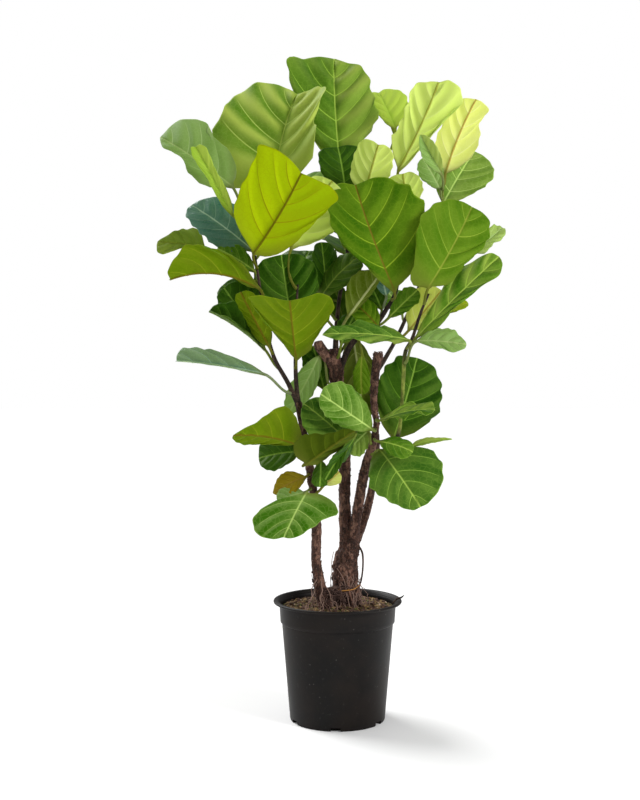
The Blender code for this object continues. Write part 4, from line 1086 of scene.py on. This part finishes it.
def stem_spot(stem, height):
    """Axis point, direction and radius of a stem at a height in cm."""
    path = smooth_path(STEMS[stem], 2)
    k = int(np.clip(np.searchsorted(path[:, 2], height), 1, len(path) - 1))
    low, high = path[k - 1], path[k]
    spot = low + (high - low) * (height - low[2]) / (high[2] - low[2])
    return spot[:3] * CM, unit(high[:3] - low[:3]), slim([spot])[0][3] * CM


def stalk_rows(habit, t):
    """Centres of the stalk on a Bezier curve from the stem to the blade, and a side for each."""
    axis_point, axis, radius = stem_spot(habit["stem"], habit["height"])
    frames = blade_frame(habit, np.zeros(1))
    base, slope, side = (row[0] if row.ndim > 1 else row for row in frames[:3])
    out = base - axis_point
    out = unit(out - axis * np.dot(out, axis) * 0.999)
    start = axis_point + out * (radius - 0.0006)
    reach = np.linalg.norm(base - start)
    straight = unit(base - start)
    near = start + unit(out + 1.2 * straight) * reach * 0.35
    far = base - unit(slope + 0.6 * straight) * reach * 0.35
    t = t[:, None]
    centre = (1 - t) ** 3 * start + 3 * (1 - t) ** 2 * t * near + 3 * (1 - t) * t * t * far + t**3 * base
    way = unit((1 - t) ** 2 * (near - start) + 2 * (1 - t) * t * (far - near) + t * t * (base - far))
    across = np.repeat(side[None], len(t), 0)
    across = unit(across - way * np.sum(across * way, 1, keepdims=True))
    return centre, across, np.cross(across, way)


print("main trunk 30 cm up:", stem_spot("main", 30)[0].round(3))

# %% [markdown]
# The last step gives the sheet its thickness, with the midrib and the veins raised below and sunk
# a little above, and closes the two layers to one solid leaf.


# %% Whole leaf
def stalk_surface(habit, t, columns):
    """Upper and lower points of the stalk: half circles from 170 down to 10 degrees, a little wider
    at both ends."""
    centre, across, lift = stalk_rows(habit, t)
    turn = np.radians(np.linspace(170, 10, columns))[None, :, None]
    size = (STALK_RADIUS * (1 + 0.35 * np.exp(-t * 9) + 0.12 * np.exp(-(1 - t) * 5)))[:, None, None]
    flat, high = across[:, None] * np.cos(turn) * size, lift[:, None] * np.sin(turn) * size
    return centre[:, None] + flat + high, centre[:, None] + flat - high


def blade_surface(habit, lane, v):
    """Upper and lower points of the blade: the middle surface moved along its normals by half the
    thickness, with a groove over the midrib and veins above, and a rib and ridges below."""
    point, normal, from_rib, u = blade_sheet(habit, lane, v)
    tilt = sheet_normals(point, normal)
    rib = bell(from_rib, RIB_WIDTH) * (RIB_DEPTH * np.clip(1 - u, 0, 1) ** 1.2 + LEAST_RIB)
    from_vein = np.abs(lane - np.round(lane))
    is_vein = (np.round(lane) > 0) & (np.round(lane) < VEIN_SPACES)
    ridge = bell(from_vein, VEIN_WIDTH) * is_vein * (1 - np.abs(v) ** 3)
    groove = bell(from_rib, GROOVE_WIDTH) * GROOVE_DEPTH + ridge * VEIN_GROOVE
    thick = BLADE_THICK / 2 * (1 - 0.35 * np.abs(v) ** 6)
    above, below = thick - groove, thick + rib + ridge * VEIN_DEPTH
    return point + tilt * above[..., None], point - tilt * below[..., None], from_rib


def leaf_grid(habit):
    """Upper and lower points of the whole leaf, row by row, and what the finish reads at each."""
    t = np.linspace(0, 1, STALK_ROWS, endpoint=False)
    lanes, across = row_places(VEIN_SPACES) * VEIN_SPACES, column_places(habit["width"] > LARGE_WIDTH)
    lane, v = np.meshgrid(lanes, across, indexing="ij")
    columns = v.shape[1]
    top_stalk, low_stalk = stalk_surface(habit, t, columns)
    top, low, from_rib = blade_surface(habit, lane, v)
    # painted light: pale bands along the veins and pale sunlit halves, which the finish mixes in as the light
    # mark
    painted_band_light = 0.5 + 0.5 * np.sin(2 * np.pi * lane + 3 * np.abs(v) + habit["phase"][1])
    light = halves(v, habit["light"]) + halves(v, habit["painted_band_light"]) * painted_band_light**1.5
    read = {
        # name: its value on the stalk, and on the blade
        "lane": (0.5, lane), "rib": (0, from_rib * np.sign(v)), "across": (0, v),
        "stalk": (1, np.exp(-lane * 4)), "light": (0, light * np.clip(8 * np.abs(v), 0, 1))}
    stalk = np.ones((len(t), columns))
    marks = {key: np.vstack([stalk * on_stalk, on_blade]) for key, (on_stalk, on_blade) in read.items()}
    return np.vstack([top_stalk, top]), np.vstack([low_stalk, low]), marks


def leaf_faces(rows, columns):
    """Both sides of a grid in two layers, and the four strips that close its edges."""
    second = rows * columns
    r, c = np.arange(rows - 1) * columns, np.arange(columns - 1)
    upper, lower = grid_faces(rows, columns, False), grid_faces(rows, columns, False, second, True)
    left = np.stack([r, r + columns, r + columns + second, r + second], 1)
    right = np.stack([r + second, r + second + columns, r + columns, r], 1) + columns - 1
    start = np.stack([c, c + second, c + 1 + second, c + 1], 1)
    end = np.stack([c, c + 1, c + 1 + second, c + second], 1) + (rows - 1) * columns
    return np.vstack([upper, lower, left, right, start, end]).tolist()


def make_leaf(leaf, seed):
    """One leaf with its stalk. A leaf that has a solid takes its place."""
    name, tone = leaf[0], leaf[-1]
    habit = habit_of(leaf, seed)
    top, low, marks = leaf_grid(habit)
    points = np.vstack([top.reshape(-1, 3), low.reshape(-1, 3)])
    faces = leaf_faces(*top.shape[:2])
    solid = [name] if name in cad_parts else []
    piece = make_piece(name + "_fine", points, faces, LEAF_FINISH[habit["finish"]], solid)
    for key, values in marks.items():
        add_attribute(piece.data, key, np.concatenate([values.ravel(), values.ravel()]))
    add_attribute(piece.data, "under", np.repeat([0.0, 1.0], len(points) // 2))
    return len(faces) * 2


print("leaf tools ready")

# %% Grow the leaves
leaf_triangles = [make_leaf(leaf, 11 + number) for number, leaf in enumerate(LEAVES)]
print("leaves:", len(leaf_triangles), "triangles:", sum(leaf_triangles))

# %% [markdown]
# The solids leave out the smallest leaves, which fill the gaps between the large ones.
# They use the same rows and the same surface, and ride on the plant as pieces of their own.

# %% Small leaves
SMALL_LEAVES = [
    ("small_01", "cross", 86, (10.0, -2.8, 88.9), (9.2, -3.2, 92.6), 2.8, (-90, 10), 10, 12, "grey"),
    ("small_02", "cross", 84, (9.2, 1, 86.3), (6.2, 1.5, 93.0), 5, (-90, 20), 15, 10, "deep"),
    ("small_03", "cross", 80, (8.3, -2.6, 82.4), (3.4, -3.2, 87.2), 5.6, (-90, 20), 12, 8, "warm"),
    ("small_04", "cross", 83, (10.6, -3.4, 84.4), (16.4, -4, 90.0), 4.4, (-90, 30), 12, 10, "mid"),
    ("small_05", "side", 80, (22.0, -5, 85.2), (26.6, -5.5, 87.2), 2.6, (-90, 40), 20, 12, "young"),
    ("small_06", "middle", 77, (3.2, 4, 80.5), (5.2, 5.5, 63.0), 9, (90, 10), 15, 8, "shade"),
    ("small_07", "left", 49, (-7.0, -6.0, 48.4), (-12.4, -6.5, 46.6), 4.4, (-90, 30), 15, 8, "hazy"),
    ("small_08", "left", 48, (-2.7, -4.9, 50.0), (0.2, -5.1, 52.6), 3.4, (-90, 10), 10, 4, "lemon"),
    ("small_09", "left", 54, (2.2, -9.6, 59.4), (-2.6, -9.2, 51.4), 2.4, (-90, 10), 10, 16, "deep"),
    ("small_10", "middle", 76, (0.8, -1.6, 79), (3.4, -2.2, 84.8), 4.6, (-90, 20), 12, 8, "deep"),
    ("small_11", "left_branch", 96, (-14.6, -7.5, 100.5), (-9.6, -7, 108.0), 6, (-90, 20), 12, 8, "mid"),
    ("small_14", "left_upright", 78, (-9.4, -4.4, 82), (-11.6, -4, 97.2), 13, (-90, 15), 14, 8, "deep"),
    ("small_15", "left_branch", 90, (-17.0, -9, 93.6), (-24.4, -9, 98.0), 5, (-90, 25), 14, 8, "mid"),
    ("small_13", "far", 110, (21.9, 6.2, 112.0), (18.2, 6.4, 118.6), 5.4, (-90, 15), 12, 12, "hazy"),
    ("small_12", "upper", 99, (0.2, 3.4, 102.5), (-3.6, 2.6, 110.6), 7, (-90, 25), 12, 8, "deep"),
    ("small_16", "middle", 67, (-2.9, 3.2, 69.6), (-5.2, 3.4, 78.6), 6.6, (-90, 15), 12, 8, "deep"),
    ("small_17", "upper", 80, (1.6, 4.0, 82.2), (-0.6, 4.4, 91.0), 5.4, (-90, 15), 12, 8, "dusk"),
]
small_triangles = [make_leaf(leaf, 90 + number) for number, leaf in enumerate(SMALL_LEAVES)]
print("small leaves:", len(small_triangles), "triangles:", sum(small_triangles))

# %% [markdown]
# ## Soil
#
# Potting mix is lumpy: chips of bark and strands of coir lie on a rough mound. The mound is a disc
# of rings whose height is noise, closed below by a plain floor. The chips and strands are tiny
# shapes of a few faces, scattered by one seeded draw.

# %% Soil mound and chips
SOIL_TOP, SOIL_MOUND, SOIL_UNDER = 0.237, 0.005, 0.2105
CHIP_REACH, CHIP_SHAPE = 0.113, np.array([1.0, 0.55, 0.28])


def soil_height(x, y):
    """A low mound with three sizes of lumps."""
    spot = np.stack([x, y, x * 0], -1)
    lumps = 0.0022 * value_noise(spot, 70, 5) + 0.0016 * value_noise(spot, 190, 6)
    lumps = lumps + 0.0010 * value_noise(spot, 480, 7)
    return SOIL_TOP + SOIL_MOUND * (1 - (x * x + y * y) / BASE_RADIUS**2) + lumps


def make_soil():
    """Rings of the mound from the middle to the pot's wall, and back under it to the middle."""
    sides, rings = 180, 70
    edge = wall_radius(STEP_AT) - WALL + COLLAR_STEP
    turn = turns(sides)
    radius = np.linspace(0.0008, edge + 0.0006, rings)[:, None]
    x, y = radius * np.cos(turn), radius * np.sin(turn)
    mound = np.stack([x, y, soil_height(x, y)], -1).reshape(-1, 3)
    radius = np.array([edge - 0.001, 0.0008])[:, None]
    low = np.stack([radius * np.cos(turn), radius * np.sin(turn), np.full((2, sides), SOIL_UNDER)], -1)
    points = np.vstack([mound, low.reshape(-1, 3)])
    return make_piece("soil_mound", points, tube_faces(rings + 2, sides), SOIL, ["soil"])


def scatter_chips(name, count, size, material, seed):
    """Flat six-sided chips: each is a box skewed by its own draw, tipped and turned by the usual
    x cos a - y sin a, x sin a + y cos a, and laid on the mound."""
    draw = np.random.default_rng(seed)
    away = CHIP_REACH * np.sqrt(draw.random(count))
    turn = draw.random(count) * 2 * np.pi
    spot = np.stack([away * np.cos(turn), away * np.sin(turn)], -1)
    shape = BOX_CORNERS[None] * (size * (0.35 + draw.random((count, 1, 3)))) * CHIP_SHAPE
    shape = shape * (1 + 0.35 * (draw.random((count, 8, 3)) - 0.5))
    yaw = (draw.random(count) * 2 * np.pi)[:, None]
    tip = ((draw.random(count) - 0.5) * 1.3)[:, None]
    x, y, z = shape[..., 0], shape[..., 1], shape[..., 2]
    x, z = x * np.cos(tip) + z * np.sin(tip), z * np.cos(tip) - x * np.sin(tip)
    x, y = x * np.cos(yaw) - y * np.sin(yaw), x * np.sin(yaw) + y * np.cos(yaw)
    ground = soil_height(spot[:, 0], spot[:, 1])[:, None]
    points = np.stack([x + spot[:, :1], y + spot[:, 1:], z + ground + size * 0.1], -1).reshape(-1, 3)
    return make_piece(name, points, box_faces(count).tolist(), material, smooth=False)


soil = make_soil()
SCATTERED = [
    # name, count, size, colour's name, colour, dullness
    ("bark_chips", 420, 0.0052, "chip_brown", (0.085, 0.038, 0.022), 0.90),
    ("coir_chips", 620, 0.0042, "chip_ochre", (0.260, 0.160, 0.060), 0.90),
    ("pale_chips", 190, 0.0030, "chip_pale", (0.420, 0.300, 0.210), 0.90),
    ("moss_bits", 420, 0.0026, "moss", (0.120, 0.140, 0.022), 0.95)]
for seed, (name, count, size, finish, shade, dull) in enumerate(SCATTERED, 1):
    scatter_chips(name, count, size, plain_material(finish, shade, dull), seed)
print("soil faces:", len(soil.data.polygons))

# %% [markdown]
# ## Fine roots
#
# A tangle of thin roots hangs round the foot of both trunks. Each is a thin tube on a curve that
# wanders by a seeded draw and stays just outside the bark.


# %% Fine roots
# lowest points, in cm: of the roots that run down into the soil and of those that lie on it
ROOT_END, ROOT_REST = 23.6, 24.1


def wandering_root(draw, centre, reach, top, radius):
    """Points that go down round a trunk, with a turn and a distance that drift."""
    count = 7
    height = np.linspace(top, ROOT_END, count)
    turn = draw.uniform(-math.pi, 0.3) + np.cumsum(draw.normal(0, 0.22, count))
    away = reach * (1.02 + 0.10 * draw.random(count)) + np.linspace(0, 0.5, count) * draw.uniform(0.4, 1.6)
    return [
        (centre[0] + a * math.cos(w), centre[1] + a * math.sin(w), z, radius)
        for a, w, z in zip(away, turn, height)]


def loose_root(draw, start, end, radius, drift):
    """A straight line from start to end, pushed about by the draw and kept above the soil."""
    t = np.linspace(0, 1, 6)
    spot = np.outer(1 - t, start) + np.outer(t, end)
    spot[1:-1] += draw.normal(0, drift, (4, 3))
    spot[:, 2] = np.maximum(spot[:, 2], ROOT_REST)
    return [(x, y, z, radius) for x, y, z in spot]


def splayed_root(draw, centre, reach):
    """From the bark at a foot outward and down to the soil."""
    turn, far = draw.uniform(-2.9, 0.1), draw.uniform(0.8, 3.2)
    out = np.array([math.cos(turn), math.sin(turn)])
    near, away = np.array(centre) + reach * 0.9 * out, np.array(centre) + (reach + far) * out
    high = draw.uniform(25.5, 30.5)
    return loose_root(draw, (*near, high), (*away, ROOT_REST + 0.1), draw.uniform(0.05, 0.10), 0.35)


def make_roots(name, roots, sides, steps, seed, material):
    """Thin rough tubes as one piece."""
    points, faces = gather_tubes(roots, sides, steps, 0.6, seed)
    return make_piece(name, points, faces, material)


MAIN_FOOT, SIDE_FOOT = (1.7, 0), (-3.4, -3.4)
draw = np.random.default_rng(21)
fine = []
for _ in range(30):
    top = draw.uniform(25, 31) + draw.exponential(1.2)
    fine.append(wandering_root(draw, MAIN_FOOT, 2.75, top, draw.uniform(0.04, 0.09)))
for _ in range(14):
    fine.append(wandering_root(draw, SIDE_FOOT, 1.45, draw.uniform(25, 28), draw.uniform(0.04, 0.08)))
fine += [splayed_root(draw, MAIN_FOOT, 2.8) for _ in range(16)]
fine += [splayed_root(draw, (-3.4, -3.5), 1.5) for _ in range(10)]
tangle = []
for _ in range(26):
    start = (-2.8 + draw.normal(0, 0.5), -4.4, draw.uniform(24.6, 28.5))
    end = (draw.uniform(0, 3.6), -3.2, draw.uniform(24.4, 28.5))
    tangle.append(loose_root(draw, start, end, draw.uniform(0.06, 0.12), 0.7))
DRY_ROOT = [
    (-0.9, -2.6, 28.0, 0.06), (0.5, -3.5, 27.7, 0.10), (2.0, -3.7, 27.8, 0.10), (3.5, -3.1, 28.0, 0.10),
    (4.7, -1.9, 28.7, 0.05)]
SHARD = [
    (11.5, -1.2, 24.6, 0.12), (12.4, -1.2, 25.5, 0.22), (13.3, -1.2, 25.8, 0.20), (14.0, -1.3, 26.4, 0.04)]
make_roots("fine_roots", fine, 7, 6, 90, plain_material("root_skin", (0.300, 0.185, 0.145), 0.85))
make_roots("root_tangle", tangle, 7, 6, 300, plain_material("dark_root", (0.105, 0.055, 0.042), 0.85))
make_roots("dry_root", [DRY_ROOT], 8, 8, 400, plain_material("dry_root", (0.620, 0.270, 0.050), 0.8))
make_roots("bark_shard", [SHARD], 6, 4, 410, TWIG)
print("fine roots:", len(fine), "in the tangle:", len(tangle))

# %% [markdown]
# ## Floor, light and camera
#
# The plant stands on a plain pale floor in a bright, soft studio. A large lamp above and behind on
# the left comes through the upper leaves, a wide one in front fills the shadows, and the pale world
# does the rest.


# %% Studio
scene = bpy.context.scene
CAMERA_AT, CAMERA_DIP, CAMERA_LENS, SENSOR = (-0.037, -2.6, 0.766), 2.07, 55.9, 36
SUN_POWER, SUN_WIDTH = 2.9, 42
WORLD_LIGHT, WORLD_SEEN = 0.44, 1.0


def lamp(name, place, target, size, power):
    """A round lamp at a place, turned to its target."""
    data = bpy.data.lights.new(name, "AREA")
    data.shape, data.size, data.energy = "DISK", size, power
    item = bpy.data.objects.new(name, data)
    scene.collection.objects.link(item)
    item.location = place
    way = np.array(target, dtype=float) - np.array(place, dtype=float)
    item.rotation_euler = (
        math.atan2(math.hypot(way[0], way[1]), -way[2]), 0, math.atan2(way[1], way[0]) - math.pi / 2)
    return item


bpy.ops.mesh.primitive_plane_add(size=30)
studio_floor = bpy.context.object
studio_floor.name = "studio_floor"
floor_look = Nodes("studio_floor")
studio_floor.data.materials.append(floor_look.finish(colour(0.99, 0.99, 0.99), 0.9))

world = bpy.data.worlds.new("studio")
scene.world = world
world.use_nodes = True
sky = world.node_tree.nodes["Background"]
seen = world.node_tree.nodes.new("ShaderNodeLightPath")
level = world.node_tree.nodes.new("ShaderNodeMapRange")
level.inputs["To Min"].default_value, level.inputs["To Max"].default_value = WORLD_LIGHT, WORLD_SEEN
world.node_tree.links.new(seen.outputs["Is Camera Ray"], level.inputs["Value"])
world.node_tree.links.new(level.outputs[0], sky.inputs["Strength"])
sky.inputs["Color"].default_value = colour(1.0, 1.0, 1.0)
sun = lamp("high_lamp", (-1.7, 1.5, 3.0), (0, 0, 0.9), 1.0, 1)
sun.data.type = "SUN"
sun.data.energy, sun.data.angle = SUN_POWER, math.radians(SUN_WIDTH)
lamp("front_lamp", (2.3, -1.7, 2.0), (0, 0, 0.8), 1.1, 62)

scene.view_settings.view_transform = "Standard"
camera_data = bpy.data.cameras.new("camera")
camera_data.lens, camera_data.sensor_width = CAMERA_LENS, SENSOR
camera = bpy.data.objects.new("camera", camera_data)
scene.collection.objects.link(camera)
camera.location, camera.rotation_euler = CAMERA_AT, (math.radians(90 - CAMERA_DIP), 0, 0)
scene.camera = camera
print("studio ready")
